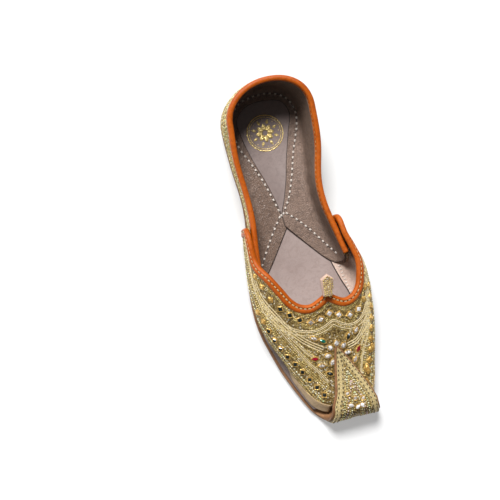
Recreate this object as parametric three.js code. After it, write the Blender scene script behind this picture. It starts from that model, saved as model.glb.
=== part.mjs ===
// A woman's mojari for the right foot: a flat leather sole whose tip curls up and folds back over the toe,
// a vamp with a two-scalloped throat, and a quarter tucked inside the vamp's wings.
// Millimetres, +Z up. The origin is on the floor under the middle of the heel seat, the toe points to -Y,
// and +X is the inner side of the foot. "s" is the distance from the back of the heel towards the toe.
import * as THREE from "three";

const LENGTH = 250;
const HEEL_POWER = 2.1;         // roundness of the heel seen from above, 2 for an ellipse
const HEEL_SKEW = 3;            // how far its rearmost point lies towards the inner side
const HEEL_SEAT = 30;           // s of the middle of the heel seat, where the heel's curve begins
const SOLE_THICK = 4;
const CURL_LEATHER = 2.4;       // the sole's leather where it is skived to curl
const MIDSOLE_THICK = 2.4;
const MIDSOLE_INSET = 0.8;      // how much of the sole's edge shows beside it
const INSOLE_THICK = 2.6;
const VAMP_WALL = 2;
const QUARTER_WALL = 2;
const COVER_THICK = 1.3;        // the embroidered leather on the folded tip
const BINDING_THICK = 0.7;
const TAB_THICK = 2.2;
const GAP = 0.3;                // between pieces that touch
const SECTION_POWER = 2.2;      // 2 is an ellipse, more is squarer
const TUCK_SHARE = 0.16;        // share of a side's rows below its widest line

// The sole's outline: x of each edge, and how far its underside lifts off the floor.
const SOLE = [
  { s: 0, outer: -29, inner: 28, lift: 0 },
  { s: 30, outer: -30, inner: 28.5, lift: 0 },
  { s: 55, outer: -29.6, inner: 26, lift: 0 },
  { s: 80, outer: -28.2, inner: 23.4, lift: 1.2 },
  { s: 98, outer: -29.4, inner: 24.6, lift: 1.5 },
  { s: 120, outer: -33.6, inner: 32.8, lift: 0.6 },
  { s: 132, outer: -35.8, inner: 38.6, lift: 0.2 },
  { s: 143, outer: -37.4, inner: 42.2, lift: 0 },
  { s: 165, outer: -38.2, inner: 43.6, lift: 0 },
  { s: 180, outer: -36.2, inner: 42.6, lift: 0 },
  { s: 192, outer: -33, inner: 41, lift: 0 },
  { s: 205, outer: -29.2, inner: 38.8, lift: 0.2 },
  { s: 217, outer: -24.5, inner: 36.2, lift: 0.5 },
  { s: 229, outer: -19.2, inner: 33.8, lift: 0.9 },
  { s: 238, outer: -14.6, inner: 32.4, lift: 1 },
];

// The insides of the quarter and of the vamp, whose wings lie outside the quarter. PLAN: x of the widest
// line and of the lower edge on each side. PROFILE: x and height of the ridge, and how far a wall flares
// outwards 25 mm above its widest line.
const QUARTER_PLAN = [
  { s: 0, outer: -28.8, inner: 27.8, footOuter: -27.4, footInner: 25.9 },
  { s: 30, outer: -28.8, inner: 27.8, footOuter: -27.4, footInner: 25.9 },
  { s: 55, outer: -28.4, inner: 25.4, footOuter: -27, footInner: 23.4 },
  { s: 80, outer: -26.8, inner: 21.8, footOuter: -25.6, footInner: 20.8 },
  { s: 98, outer: -27.6, inner: 22.8, footOuter: -25.8, footInner: 21.4 },
  { s: 120, outer: -31, inner: 28.4, footOuter: -28, footInner: 26.8 },
  { s: 143, outer: -34.4, inner: 34.4, footOuter: -31.2, footInner: 31.8 },
];
const QUARTER_PROFILE = [
  { s: 0, ridge: -0.6, crown: 104, flareOuter: 0.2, flareInner: 2 },
  { s: 30, ridge: -0.6, crown: 104, flareOuter: 0.6, flareInner: 2.2 },
  { s: 55, ridge: -1.6, crown: 98, flareOuter: 2, flareInner: 4.4 },
  { s: 80, ridge: -2.4, crown: 84, flareOuter: 2.6, flareInner: 4.6 },
  { s: 98, ridge: -1.6, crown: 72, flareOuter: 1.6, flareInner: 4.4 },
  { s: 120, ridge: 3, crown: 57, flareOuter: 1.4, flareInner: 3 },
  { s: 143, ridge: 8, crown: 44.5, flareOuter: 1, flareInner: 2 },
];
const VAMP_PLAN = [
  { s: 98, outer: -32, inner: 27.8, footOuter: -28.1, footInner: 23.6 },
  { s: 120, outer: -35, inner: 33, footOuter: -30.4, footInner: 29.4 },
  { s: 132, outer: -36.6, inner: 38.4, footOuter: -32.2, footInner: 34.8 },
  { s: 143, outer: -37.7, inner: 42.4, footOuter: -33.6, footInner: 38.6 },
  { s: 158, outer: -37.4, inner: 43.6, footOuter: -34.1, footInner: 40 },
  { s: 170, outer: -36.4, inner: 42.6, footOuter: -33.1, footInner: 40 },
  { s: 182, outer: -33, inner: 41.4, footOuter: -30.3, footInner: 38.8 },
  { s: 194, outer: -27.8, inner: 39.4, footOuter: -25.1, footInner: 36.8 },
  { s: 206, outer: -22.6, inner: 36.6, footOuter: -20.4, footInner: 34.4 },
  { s: 218, outer: -17, inner: 33.6, footOuter: -15, footInner: 31.6 },
  { s: 230, outer: -11.8, inner: 30.8, footOuter: -9.6, footInner: 28.9 },
  { s: 240, outer: -8, inner: 29, footOuter: -6, footInner: 27 },
];
const VAMP_PROFILE = [
  { s: 98, ridge: -1.4, crown: 73.5, flareOuter: 4.4, flareInner: 5.6 },
  { s: 120, ridge: 3.4, crown: 59.2, flareOuter: 2.8, flareInner: 2.8 },
  { s: 132, ridge: 6, crown: 52.8, flareOuter: 2, flareInner: 1.2 },
  { s: 143, ridge: 8.4, crown: 46.9, flareOuter: 1.4, flareInner: 0.6 },
  { s: 158, ridge: 10, crown: 38.4, flareOuter: 0, flareInner: 0 },
  { s: 170, ridge: 10.4, crown: 32.6, flareOuter: 0, flareInner: 0 },
  { s: 182, ridge: 10.6, crown: 27.8, flareOuter: 0, flareInner: 0 },
  { s: 194, ridge: 10.6, crown: 23.6, flareOuter: 0, flareInner: 0 },
  { s: 206, ridge: 11, crown: 19.9, flareOuter: 0, flareInner: 0 },
  { s: 218, ridge: 11.4, crown: 16.6, flareOuter: 0, flareInner: 0 },
  { s: 230, ridge: 12, crown: 14, flareOuter: 0, flareInner: 0 },
  { s: 240, ridge: 12.4, crown: 12.2, flareOuter: 0, flareInner: 0 },
];
const WIDEST_ABOVE_FEATHER = 9;   // height of a section's widest line over its lower edge
const TOE_CAP_FROM = 230;         // the vamp's front rounds off from here
const TOE_CAP_END = 238.6;
const TOE_CAP_RISE = 2;           // height of the vamp's foremost point over the midsole

// The back of the heel seen from the side: how far forward the last's wall stands at each height.
const HEEL_BACK = [
  { height: 6, forward: 4.8 },
  { height: 20, forward: 3 },
  { height: 38, forward: 3.8 },
  { height: 54, forward: 5.6 },
];

// The collar: height of the quarter's upper edge.
const COLLAR = [
  { s: 0, height: 51 },
  { s: 14, height: 50 },
  { s: 32, height: 46 },
  { s: 55, height: 40.5 },
  { s: 80, height: 36 },
  { s: 105, height: 33.2 },
  { s: 134, height: 29.6 },
];
const QUARTER_FRONT_TOP = 136;    // s of the quarter's front ends, at the collar and at the sole
const QUARTER_FRONT_FOOT = 142;

// The vamp's edge on each side, seen from above, from the peak of the throat to where the wing begins.
const THROAT = {
  outer: [
    { s: 158.9, x: 10 },
    { s: 162.2, x: 4.6 },
    { s: 165.2, x: -3.6 },
    { s: 163.2, x: -10.6 },
    { s: 158, x: -16 },
    { s: 149, x: -20.8 },
    { s: 139, x: -25.8 },
  ],
  inner: [
    { s: 158.9, x: 10 },
    { s: 162.6, x: 14.4 },
    { s: 166.2, x: 21.4 },
    { s: 164.6, x: 27.8 },
    { s: 159.4, x: 32.6 },
    { s: 150, x: 35.6 },
    { s: 141, x: 36.4 },
  ],
};
// The wing's edge: height along its top, then the rounded corner and the rear edge down to the sole.
const WING = {
  outer: [
    { s: 127, height: 36 },
    { s: 115, height: 37 },
    { s: 107, height: 36.4 },
    { s: 103.2, height: 32.6 },
    { s: 102.6, height: 25 },
    { s: 103, height: 13 },
    { s: 104, height: 8 },
  ],
  inner: [
    { s: 128, height: 36.4 },
    { s: 118, height: 37 },
    { s: 111.4, height: 36 },
    { s: 108.6, height: 32.4 },
    { s: 108, height: 25 },
    { s: 108.4, height: 13 },
    { s: 109, height: 8 },
  ],
};

// The folded tip: the curl seen from the side, then the flap's rows from the curl to its point.
const CURL_RADIUS = 10.4;
const CURL_LIFT = 1;
const FLAP = [
  { s: 238, height: 22.2, mid: 14.4, half: 16.6, crown: 1.6, thick: 2.4 },
  { s: 231, height: 23, mid: 14.8, half: 13.4, crown: 2, thick: 2.4 },
  { s: 219, height: 23.5, mid: 13.4, half: 9.4, crown: 1.4, thick: 2.2 },
  { s: 208, height: 24.8, mid: 11.6, half: 5.6, crown: 0.5, thick: 1.9 },
  { s: 199.6, height: 26.6, mid: 10, half: 2.2, crown: 0, thick: 1.6 },
  { s: 197.4, height: 27.2, mid: 9.8, half: 0.6, crown: 0, thick: 1.5 },
];
const FOLD_MID = 13.4;            // x and half width where the tip is bent
const FOLD_HALF = 19;
const COVER_MARGIN = 1.3;         // brown leather left showing beside the cover

const COLOURS = {
  tan: { color: 0x8a5a34, roughness: 0.62, metalness: 0 },
  umber: { color: 0x4a3a33, roughness: 0.4, metalness: 0 },
  taupe: { color: 0x75655f, roughness: 0.55, metalness: 0 },
  gold: { color: 0xb89a58, roughness: 0.5, metalness: 0.35 },
  orange: { color: 0xd9641e, roughness: 0.45, metalness: 0 },
};

// ---- tables and small helpers -------------------------------------------------------------------

// A smooth curve through one column of a table, as a function of another column.
function column(rows, key, by = "s") {
  const x = rows.map((row) => row[by]);
  const y = rows.map((row) => row[key]);
  const slope = x.map((_, i) => {
    const a = Math.max(i - 1, 0);
    const b = Math.min(i + 1, x.length - 1);
    return (y[b] - y[a]) / (x[b] - x[a]);
  });
  return (at) => {
    const rising = x[x.length - 1] > x[0];
    let i = 0;
    while (i < x.length - 2 && (rising ? at > x[i + 1] : at < x[i + 1])) i++;
    const h = x[i + 1] - x[i];
    const t = THREE.MathUtils.clamp((at - x[i]) / h, 0, 1);
    const u = 1 - t;
    return (
      u * u * (1 + 2 * t) * y[i] +
      t * t * (1 + 2 * u) * y[i + 1] +
      t * u * h * (u * slope[i] - t * slope[i + 1])
    );
  };
}

const curves = (rows) => Object.fromEntries(Object.keys(rows[0]).map((key) => [key, column(rows, key)]));
const sole = curves(SOLE);
const quarterLast = { ...curves(QUARTER_PLAN), ...curves(QUARTER_PROFILE) };
const vampLast = { ...curves(VAMP_PLAN), ...curves(VAMP_PROFILE) };
const collarHeight = column(COLLAR, "height");
const heelForward = column(HEEL_BACK, "forward", "height");

const point = (x, s, z) => new THREE.Vector3(x, HEEL_SEAT - s, z);
const ease = (t) => THREE.MathUtils.smoothstep(t, 0, 1);
const mix = THREE.MathUtils.lerp;
const lift = (s) => Math.max(sole.lift(s), 0);
const midsoleTop = (s) => lift(s) + SOLE_THICK + GAP + MIDSOLE_THICK;
const featherHeight = (s) => midsoleTop(s) + GAP;
const steps = (n) => Array.from({ length: n + 1 }, (_, i) => i / n);

// A closed solid from triangles: equal corners are welded, flat triangles dropped, faces turned outwards.
function solidFrom(triangles) {
  const index = new Map();
  const corners = [];
  const faces = [];
  let volume = 0;
  for (const triangle of triangles) {
    const ids = triangle.map((p) => {
      const key = p.toArray().map((v) => Math.round(v * 1e4)).join();
      if (!index.has(key)) {
        index.set(key, index.size);
        corners.push(...p.toArray());
      }
      return index.get(key);
    });
    if (new Set(ids).size < 3) continue;
    faces.push(ids);
    volume += triangle[0].dot(triangle[1].clone().cross(triangle[2]));
  }
  if (volume < 0) faces.forEach((ids) => ids.reverse());
  const geometry = new THREE.BufferGeometry();
  geometry.setAttribute("position", new THREE.Float32BufferAttribute(corners, 3));
  geometry.setIndex(faces.flat());
  geometry.computeVertexNormals();
  return geometry;
}

// Two triangles across the shorter diagonal.
function quad(a, b, c, d) {
  return a.distanceTo(c) <= b.distanceTo(d) ? [[a, b, c], [a, c, d]] : [[a, b, d], [b, c, d]];
}

// The faces between two rows of points, joined end to end where the rows are rings.
function strip(rowA, rowB, ring = false) {
  const n = ring ? rowA.length : rowA.length - 1;
  return steps(n - 1).flatMap((_, j) => {
    const k = (j + 1) % rowA.length;
    return quad(rowA[j], rowB[j], rowB[k], rowA[k]);
  });
}

// A sheet with a thickness: two grids of the same size, and the rims between their four edges.
function sheetSolid(top, under) {
  const rowsOf = (grid) => grid.slice(1).flatMap((row, i) => strip(grid[i], row));
  const edge = (grid) => [
    ...grid[0],
    ...grid.slice(1).map((row) => row[row.length - 1]),
    ...grid[grid.length - 1].slice(0, -1).reverse(),
    ...grid.slice(1, -1).map((row) => row[0]).reverse(),
  ];
  return solidFrom([
    ...rowsOf(top),
    ...rowsOf(under).map((face) => face.toReversed()),
    ...strip(edge(under), edge(top), true),
  ]);
}

// A bar whose section, a ring of points, changes along its length, with flat ends.
function barSolid(rings) {
  const cap = (ring) => {
    const flat = ring.map((p) => p.section);
    return THREE.ShapeUtils.triangulateShape(flat, []).map((ids) => ids.map((i) => ring[i].at));
  };
  const places = rings.map((ring) => ring.map((p) => p.at));
  return solidFrom([
    ...places.slice(1).flatMap((ring, i) => strip(places[i], ring, true)),
    ...cap(rings[0]),
    ...cap(rings[rings.length - 1]).map((face) => face.toReversed()),
  ]);
}

// ---- the last -----------------------------------------------------------------------------------

// The measures of one side of a last's section at s. side is -1 on the outer side of the foot and 1 on
// the inner side.
function section(last, s, side) {
  const [widestX, footX, flare] =
    side < 0
      ? [last.outer(s), last.footOuter(s), last.flareOuter(s)]
      : [last.inner(s), last.footInner(s), last.flareInner(s)];
  const ridge = last.ridge(s);
  const crown = last.crown(s);
  const foot = featherHeight(s);
  return {
    ridge,
    crown,
    foot,
    flare,
    reach: side * (widestX - ridge),
    footReach: side * (footX - ridge),
    widest: foot + WIDEST_ABOVE_FEATHER * Math.min(1, (crown - foot) / 22),
  };
}

// A point on one side of a section. "around" is 0 at its lower edge, TUCK_SHARE at its widest line and
// 1 at its ridge.
function sectionPoint(last, s, side, around) {
  const { ridge, reach, crown, foot, footReach, widest, flare } = section(last, s, side);
  if (around < TUCK_SHARE) {
    const t = 1 - around / TUCK_SHARE;
    return capPoint(ridge + side * mix(reach, footReach, t * t), s, mix(widest, foot, t));
  }
  const angle = ((around - TUCK_SHARE) / (1 - TUCK_SHARE)) * (Math.PI / 2);
  const out = Math.max(Math.cos(angle), 0) ** (2 / SECTION_POWER);
  const z = widest + (crown - widest) * Math.sin(angle) ** (2 / SECTION_POWER);
  return capPoint(ridge + side * (reach + flare * ((z - widest) / 25) ** 2) * out, s, z);
}

// Draws a section in towards the vamp's foremost point, so that the toe closes as a rounded cap.
function capPoint(x, s, z) {
  if (s <= TOE_CAP_FROM) return point(x, s, z);
  const t = Math.min((s - TOE_CAP_FROM) / (TOE_CAP_END - TOE_CAP_FROM), 1);
  const keep = Math.sqrt(1 - t * t);
  const tip = { x: vampLast.ridge(TOE_CAP_END) - 1, z: featherHeight(TOE_CAP_END) + TOE_CAP_RISE };
  return point(mix(tip.x, x, keep ** 0.8), s, mix(tip.z, z, keep));
}

// The share "around" a section at which its wall has a height, or at which it has an x.
function aroundAtHeight(last, s, height) {
  const { crown, foot, widest } = section(last, s, 1);
  if (height <= foot + 0.5) return 0;
  if (height <= widest) return TUCK_SHARE * ((height - foot) / (widest - foot));
  const rise = Math.min((height - widest) / (crown - widest), 1);
  return TUCK_SHARE + (1 - TUCK_SHARE) * (Math.asin(rise ** (SECTION_POWER / 2)) / (Math.PI / 2));
}

function aroundAtX(last, s, side, x) {
  const { ridge, reach } = section(last, s, side);
  const out = THREE.MathUtils.clamp(Math.abs(x - ridge) / reach, 0, 1);
  return TUCK_SHARE + (1 - TUCK_SHARE) * (Math.acos(out ** (SECTION_POWER / 2)) / (Math.PI / 2));
}

// The way straight out of a wall, from a step up it and a step along it. A way down is kept only in part,
// so that at the wall's foot its thickness is measured level.
function outOf(up, along, keepDown) {
  const out = up.cross(along).normalize();
  return out.z < 0 ? out.setZ(out.z * keepDown).normalize() : out;
}

// ---- the quarter --------------------------------------------------------------------------------

const QUARTER_COLUMNS = 50;
const QUARTER_ROWS = 8;
const HEEL_SHARE = 0.3;           // share of the quarter's length that goes round the heel

// The inside of the quarter: u runs from the outer front end round the heel to the inner one, v is up.
function quarterPoint(u, v) {
  const fromHeel = Math.abs(u - 0.5) * 2;
  const side = u < 0.5 ? -1 : 1;
  if (fromHeel >= HEEL_SHARE) {
    const share = (fromHeel - HEEL_SHARE) / (1 - HEEL_SHARE);
    const front = mix(QUARTER_FRONT_FOOT, QUARTER_FRONT_TOP, v);
    const s = mix(HEEL_SEAT, front, share);
    const top = aroundAtHeight(quarterLast, s, collarHeight(Math.min(s, QUARTER_FRONT_TOP)));
    return sectionPoint(quarterLast, s, side, v * top);
  }
  const turn = (1 - fromHeel / HEEL_SHARE) * (Math.PI / 2);
  const s = HEEL_SEAT * (1 - Math.sin(turn));
  const top = aroundAtHeight(quarterLast, HEEL_SEAT, collarHeight(s));
  const wall = sectionPoint(quarterLast, HEEL_SEAT, side, v * top);
  const middle = quarterLast.ridge(HEEL_SEAT);
  const back = HEEL_SEAT - heelForward(wall.z);
  const power = 2 / HEEL_POWER;
  return point(
    middle + (wall.x - middle) * Math.cos(turn) ** power + HEEL_SKEW * Math.sin(turn) ** 2,
    HEEL_SEAT - back * Math.sin(turn) ** power,
    wall.z,
  );
}

function quarterOut(u, v) {
  const d = 1e-3;
  const up = quarterPoint(u, Math.min(v + d, 1)).sub(quarterPoint(u, Math.max(v - d, 0)));
  const along = quarterPoint(Math.min(u + d, 1), v).sub(quarterPoint(Math.max(u - d, 0), v));
  return outOf(up, along, ease(v * 3));
}

function quarterGrid(distance) {
  return steps(QUARTER_COLUMNS).map((u) =>
    steps(QUARTER_ROWS).map((v) => quarterPoint(u, v).addScaledVector(quarterOut(u, v), distance)),
  );
}

function quarter() {
  return sheetSolid(quarterGrid(QUARTER_WALL), quarterGrid(0));
}

// ---- the vamp -----------------------------------------------------------------------------------

const VAMP_COLUMNS = 48;
const VAMP_ROWS = 18;

// The vamp's edge on one side as places {s, around}, from the peak of the throat to the wing's foot.
function vampEdge(side) {
  const [peak, ...throat] = side < 0 ? THROAT.outer : THROAT.inner;
  const wing = side < 0 ? WING.outer : WING.inner;
  return [
    { s: peak.s, around: 1 },
    ...throat.map((row) => ({ s: row.s, around: aroundAtX(vampLast, row.s, side, row.x) })),
    ...wing.map((row) => ({ s: row.s, around: aroundAtHeight(vampLast, row.s, row.height) })),
  ];
}

// Each side's edge as a smooth curve, with "around" stretched to the size of a mean distance along s.
const EDGE_STRETCH = 60;
const [outerEdge, innerEdge] = [-1, 1].map(
  (side) =>
    new THREE.CatmullRomCurve3(
      vampEdge(side).map((p) => new THREE.Vector3(p.s, p.around * EDGE_STRETCH, 0)),
      false,
      "centripetal",
    ),
);

// A place under the vamp: u runs from the inner wing's foot over the throat to the outer one's, and v from
// the vamp's edge to the toe, where the columns are spread evenly.
function vampPlace(u, v) {
  const edge = (u < 0.5 ? innerEdge : outerEdge).getPointAt(Math.abs(u - 0.5) * 2);
  return {
    side: u < 0.5 ? 1 : -1,
    s: mix(edge.x, TOE_CAP_END, 1 - (1 - v) ** 1.25),
    around: mix(Math.min(edge.y / EDGE_STRETCH, 1), 1 - Math.abs(u - 0.5) * 2, 0.85 * ease(v)),
  };
}

function vampPoint(u, v, distance) {
  const { side, s, around } = vampPlace(u, v);
  const at = (ds, turn) =>
    sectionPoint(vampLast, s + ds, side, THREE.MathUtils.clamp(around + turn, 0, 1));
  const along = at(0.1 * side, 0).sub(at(-0.1 * side, 0));
  const out = outOf(at(0, 1e-3).sub(at(0, -1e-3)), along, ease(around / TUCK_SHARE));
  return { at: at(0, 0).addScaledVector(out, distance), out };
}

function vampGrid(distance) {
  const grid = steps(VAMP_COLUMNS).map((u) => steps(VAMP_ROWS).map((v) => vampPoint(u, v, distance).at));
  const toe = point(
    vampLast.ridge(TOE_CAP_END) - 1,
    TOE_CAP_END + distance,
    featherHeight(TOE_CAP_END) + TOE_CAP_RISE,
  );
  return grid.map((line) => [...line.slice(0, -1), toe]);
}

function vamp() {
  return sheetSolid(vampGrid(VAMP_WALL), vampGrid(0));
}

// ---- bindings: leather strips folded over the upper's edges ---------------------------------------

// How far each binding reaches down its wall's outside and inside.
const QUARTER_BINDING = { outside: 4.2, inside: 4.8 };
const VAMP_BINDING = { outside: 4.3, inside: 3.4 };

// The binding's section: x is out of the wall, whose inside is at 0, and y is up past its edge.
function bindingSection(wall, { outside, inside }) {
  const inner = -1.6 * GAP;
  const outer = wall + 1.6 * GAP;
  const t = BINDING_THICK;
  return [
    [outer, -outside],
    [outer + t, -outside],
    [outer + t * 1.15, -1.6],
    [outer + t * 0.7, 0.8],
    [wall / 2, 1.7],
    [inner - t * 0.7, 0.8],
    [inner - t * 1.15, -1.6],
    [inner - t, -inside],
    [inner, -inside],
    [inner, 2 * GAP],
    [outer, 2 * GAP],
  ].map(([x, y]) => new THREE.Vector2(x, y));
}

// Sweeps the section along an edge: each station gives the wall's inside, its way out and its way up.
function bindingSolid(stations, wall, reach) {
  const profile = bindingSection(wall, reach);
  return barSolid(
    stations.map(({ at, out, up }) =>
      profile.map((p) => ({
        section: p,
        at: at.clone().addScaledVector(out, p.x).addScaledVector(up, p.y),
      })),
    ),
  );
}

// Stations along an edge: the wall's inside there, the way out of it, and the way on past the edge.
function edgeStations(count, ends, edgeAt) {
  const d = 2e-3;
  return steps(count).map((t) => {
    const u = mix(ends, 1 - ends, t);
    const { at, out } = edgeAt(u);
    const along = edgeAt(Math.min(u + d, 1)).at.sub(edgeAt(Math.max(u - d, 0)).at);
    return { at, out, up: along.cross(out).normalize() };
  });
}

function quarterBinding() {
  const edgeAt = (u) => ({ at: quarterPoint(u, 1), out: quarterOut(u, 1) });
  return bindingSolid(edgeStations(52, 0.004, edgeAt), QUARTER_WALL, QUARTER_BINDING);
}

function vampBinding() {
  return bindingSolid(edgeStations(84, 0.022, (u) => vampPoint(u, 0, 0)), VAMP_WALL, VAMP_BINDING);
}

// ---- sole, midsole, insole ---------------------------------------------------------------------------

// A row of points across the sole's plan at s, drawn in by an inset, with the heel's end rounded.
function planRow(s, insetOuter, insetInner, insetBack, across) {
  const middle = (sole.outer(HEEL_SEAT) + sole.inner(HEEL_SEAT)) / 2;
  const at = Math.max(s, HEEL_SEAT);
  let left = sole.outer(at) + insetOuter;
  let right = sole.inner(at) - insetInner;
  if (s < HEEL_SEAT) {
    const back = HEEL_SEAT - insetBack;
    const share = Math.min((HEEL_SEAT - s) / back, 1);
    const keep = (1 - share ** HEEL_POWER) ** (1 / HEEL_POWER);
    const turned = middle + HEEL_SKEW * share ** 2;
    left = turned + (left - middle) * keep;
    right = turned + (right - middle) * keep;
  }
  return across.map((t) => ({ x: mix(left, right, t), s }));
}

// Values of s for a flat layer: close together round the heel, then even.
function layerStations(end, inset, count) {
  const heel = steps(9).slice(0, -1).map((t) => {
    const turn = mix(0.09, 1, t) * (Math.PI / 2);
    return HEEL_SEAT - (HEEL_SEAT - inset) * Math.cos(turn);
  });
  return [...heel, ...steps(count).map((t) => mix(HEEL_SEAT, end, t))];
}

function layerSolid({ end, inset, insetBack, bottom, top, count }) {
  const rows = layerStations(end, insetBack, count).map((s) =>
    planRow(s, inset(s).outer, inset(s).inner, insetBack, steps(4)),
  );
  const level = (height) => rows.map((row) => row.map((p) => point(p.x, p.s, height(p.s))));
  return sheetSolid(level(top), level(bottom));
}

function midsole() {
  return layerSolid({
    end: 238,
    insetBack: MIDSOLE_INSET,
    inset: () => ({ outer: MIDSOLE_INSET, inner: MIDSOLE_INSET }),
    bottom: (s) => lift(s) + SOLE_THICK + GAP,
    top: midsoleTop,
    count: 26,
  });
}

// The insole stays this far inside the upper's lower edge. Where the quarter ends, the vamp's edge stands
// further out, and the insole's outline runs on smoothly over the next few millimetres.
const INSOLE_CLEAR = { quarter: 1, vamp: 0.8, stepOuter: 3.4, stepInner: 8 };

function insole() {
  return layerSolid({
    end: 229,
    insetBack: 6.4,
    inset: (s) => {
      const past = s - 143;
      const last = past < 0 ? quarterLast : vampLast;
      const clear = (step, run) =>
        past < 0 ? INSOLE_CLEAR.quarter : mix(step, INSOLE_CLEAR.vamp, ease(past / run));
      return {
        outer: last.footOuter(s) - sole.outer(s) + clear(INSOLE_CLEAR.stepOuter, 12),
        inner: sole.inner(s) - last.footInner(s) + clear(INSOLE_CLEAR.stepInner, 16),
      };
    },
    bottom: (s) => midsoleTop(s) + GAP,
    top: (s) => midsoleTop(s) + GAP + INSOLE_THICK,
    count: 30,
  });
}

// The sole's leather as rows from the heel to the curl, round it, and back along the flap to its point.
// Each row has a middle, a half width, and the outer and inner faces of the leather in side view.
function soleRows() {
  const flat = layerStations(LENGTH - COVER_THICK - GAP - CURL_RADIUS, 0, 26).map((s) => {
    const row = planRow(s, 0, 0, 0, [0, 1]);
    const skive = ease((s - 214) / 20);
    return {
      mid: (row[0].x + row[1].x) / 2,
      half: (row[1].x - row[0].x) / 2,
      crown: 0,
      under: { s, z: lift(s) },
      over: { s, z: lift(s) + mix(SOLE_THICK, CURL_LEATHER + 0.6, skive) },
    };
  });
  const centre = { s: LENGTH - COVER_THICK - GAP - CURL_RADIUS, z: CURL_LIFT + CURL_RADIUS };
  const end = flat[flat.length - 1];
  const start = FLAP[0];
  const curl = steps(9).slice(1).map((t) => {
    const turn = mix(-90, 84, t);
    const ray = { s: Math.cos(THREE.MathUtils.degToRad(turn)), z: Math.sin(THREE.MathUtils.degToRad(turn)) };
    const at = (radius) => ({ s: centre.s + radius * ray.s, z: centre.z + radius * ray.z });
    const bent = Math.min(t / 0.5, 1);
    const after = Math.max(t / 0.5 - 1, 0);
    return {
      mid: mix(mix(end.mid, FOLD_MID, ease(bent)), start.mid, ease(after)),
      half: mix(mix(end.half, FOLD_HALF, bent ** 0.7), start.half, ease(after)),
      crown: mix(0, start.crown, t),
      under: at(CURL_RADIUS),
      over: at(CURL_RADIUS - CURL_LEATHER),
    };
  });
  const flap = FLAP.slice(1).map((row) => ({
    mid: row.mid,
    half: row.half,
    crown: row.crown,
    under: { s: row.s, z: row.height },
    over: { s: row.s, z: row.height - row.thick },
  }));
  return { flat, curl, flap };
}

// A row of points across the leather; a crowned row is lower at its edges.
function acrossRow(row, face, across, narrower = 0) {
  return across.map((t) => {
    const reach = (2 * t - 1) * Math.max(row.half - narrower, 0.25);
    return point(row.mid + reach, row[face].s, row[face].z - row.crown * (reach / row.half) ** 2);
  });
}

function outsole() {
  const { flat, curl, flap } = soleRows();
  const across = steps(6);
  const rows = [...flat, ...curl, ...flap];
  return sheetSolid(
    rows.map((row) => acrossRow(row, "over", across)),
    rows.map((row) => acrossRow(row, "under", across)),
  );
}

// The cover lies on the outside of the curl and flap.
function toeCover() {
  const { curl, flap } = soleRows();
  const rows = [...curl.slice(2), ...flap];
  const centre = { s: LENGTH - COVER_THICK - GAP - CURL_RADIUS, z: CURL_LIFT + CURL_RADIUS };
  const lifted = rows.map((row, i) => {
    const before = rows[Math.max(i - 1, 0)].under;
    const after = rows[Math.min(i + 1, rows.length - 1)].under;
    let out = { s: -(after.z - before.z), z: after.s - before.s };
    if (out.s * (row.under.s - centre.s) + out.z * (row.under.z - centre.z) < 0) {
      out = { s: -out.s, z: -out.z };
    }
    const size = Math.hypot(out.s, out.z);
    const at = (distance) => ({
      s: row.under.s + (out.s / size) * distance,
      z: row.under.z + (out.z / size) * distance,
    });
    return { ...row, near: at(GAP), far: at(GAP + COVER_THICK) };
  });
  const across = steps(6);
  return sheetSolid(
    lifted.map((row) => acrossRow(row, "far", across, COVER_MARGIN)),
    lifted.map((row) => acrossRow(row, "near", across, COVER_MARGIN)),
  );
}

// ---- the tab at the peak of the throat ------------------------------------------------------------

const TAB = { foot: 6.2, head: 9.6, shoulder: 13, length: 16.6 };

function tab() {
  const outline = new THREE.Shape();
  outline.moveTo(-TAB.foot / 2, 0);
  outline.lineTo(TAB.foot / 2, 0);
  outline.lineTo(TAB.head / 2, TAB.shoulder);
  outline.lineTo(0, TAB.length);
  outline.lineTo(-TAB.head / 2, TAB.shoulder);
  outline.closePath();
  return new THREE.ExtrudeGeometry(outline, {
    depth: TAB_THICK,
    bevelEnabled: true,
    bevelThickness: 0.4,
    bevelSize: 0.4,
    bevelOffset: -0.4,
    bevelSegments: 1,
  });
}

// ---- assembly --------------------------------------------------------------------------------------

function piece(name, geometry, finish) {
  const mesh = new THREE.Mesh(geometry, new THREE.MeshStandardMaterial(COLOURS[finish]));
  mesh.name = name;
  return mesh;
}

const shoe = new THREE.Group();
const throatTab = piece("throat_tab", tab(), "gold");
throatTab.position.copy(point(9, 160.6, vampLast.crown(160.6) + VAMP_WALL + 2.3));
throatTab.rotation.set(THREE.MathUtils.degToRad(27), 0, THREE.MathUtils.degToRad(-8), "ZXY");

shoe.add(
  piece("outsole", outsole(), "tan"),
  piece("midsole", midsole(), "umber"),
  piece("insole", insole(), "taupe"),
  piece("upper_quarter", quarter(), "gold"),
  piece("upper_vamp", vamp(), "gold"),
  piece("quarter_binding", quarterBinding(), "orange"),
  piece("vamp_binding", vampBinding(), "orange"),
  piece("toe_cover", toeCover(), "gold"),
  throatTab,
);

export default shoe;
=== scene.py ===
"""A mojari for the right foot: embroidered upper, orange bindings, stitched lining, folded toe.

Shapes are worked out in millimetres and become metres when a mesh is made. The origin is on the floor
under the middle of the heel seat, -Y points to the toe, +X is the inner side of the foot and +Z is up.
"s" is the distance from the back of the heel towards the toe, and a plan point is (x, s). side is -1 on
the outer side and 1 on the inner side.
"""

import math

import bmesh
import bpy
import numpy as np
from mathutils import Matrix, Vector
from mathutils.bvhtree import BVHTree


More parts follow.
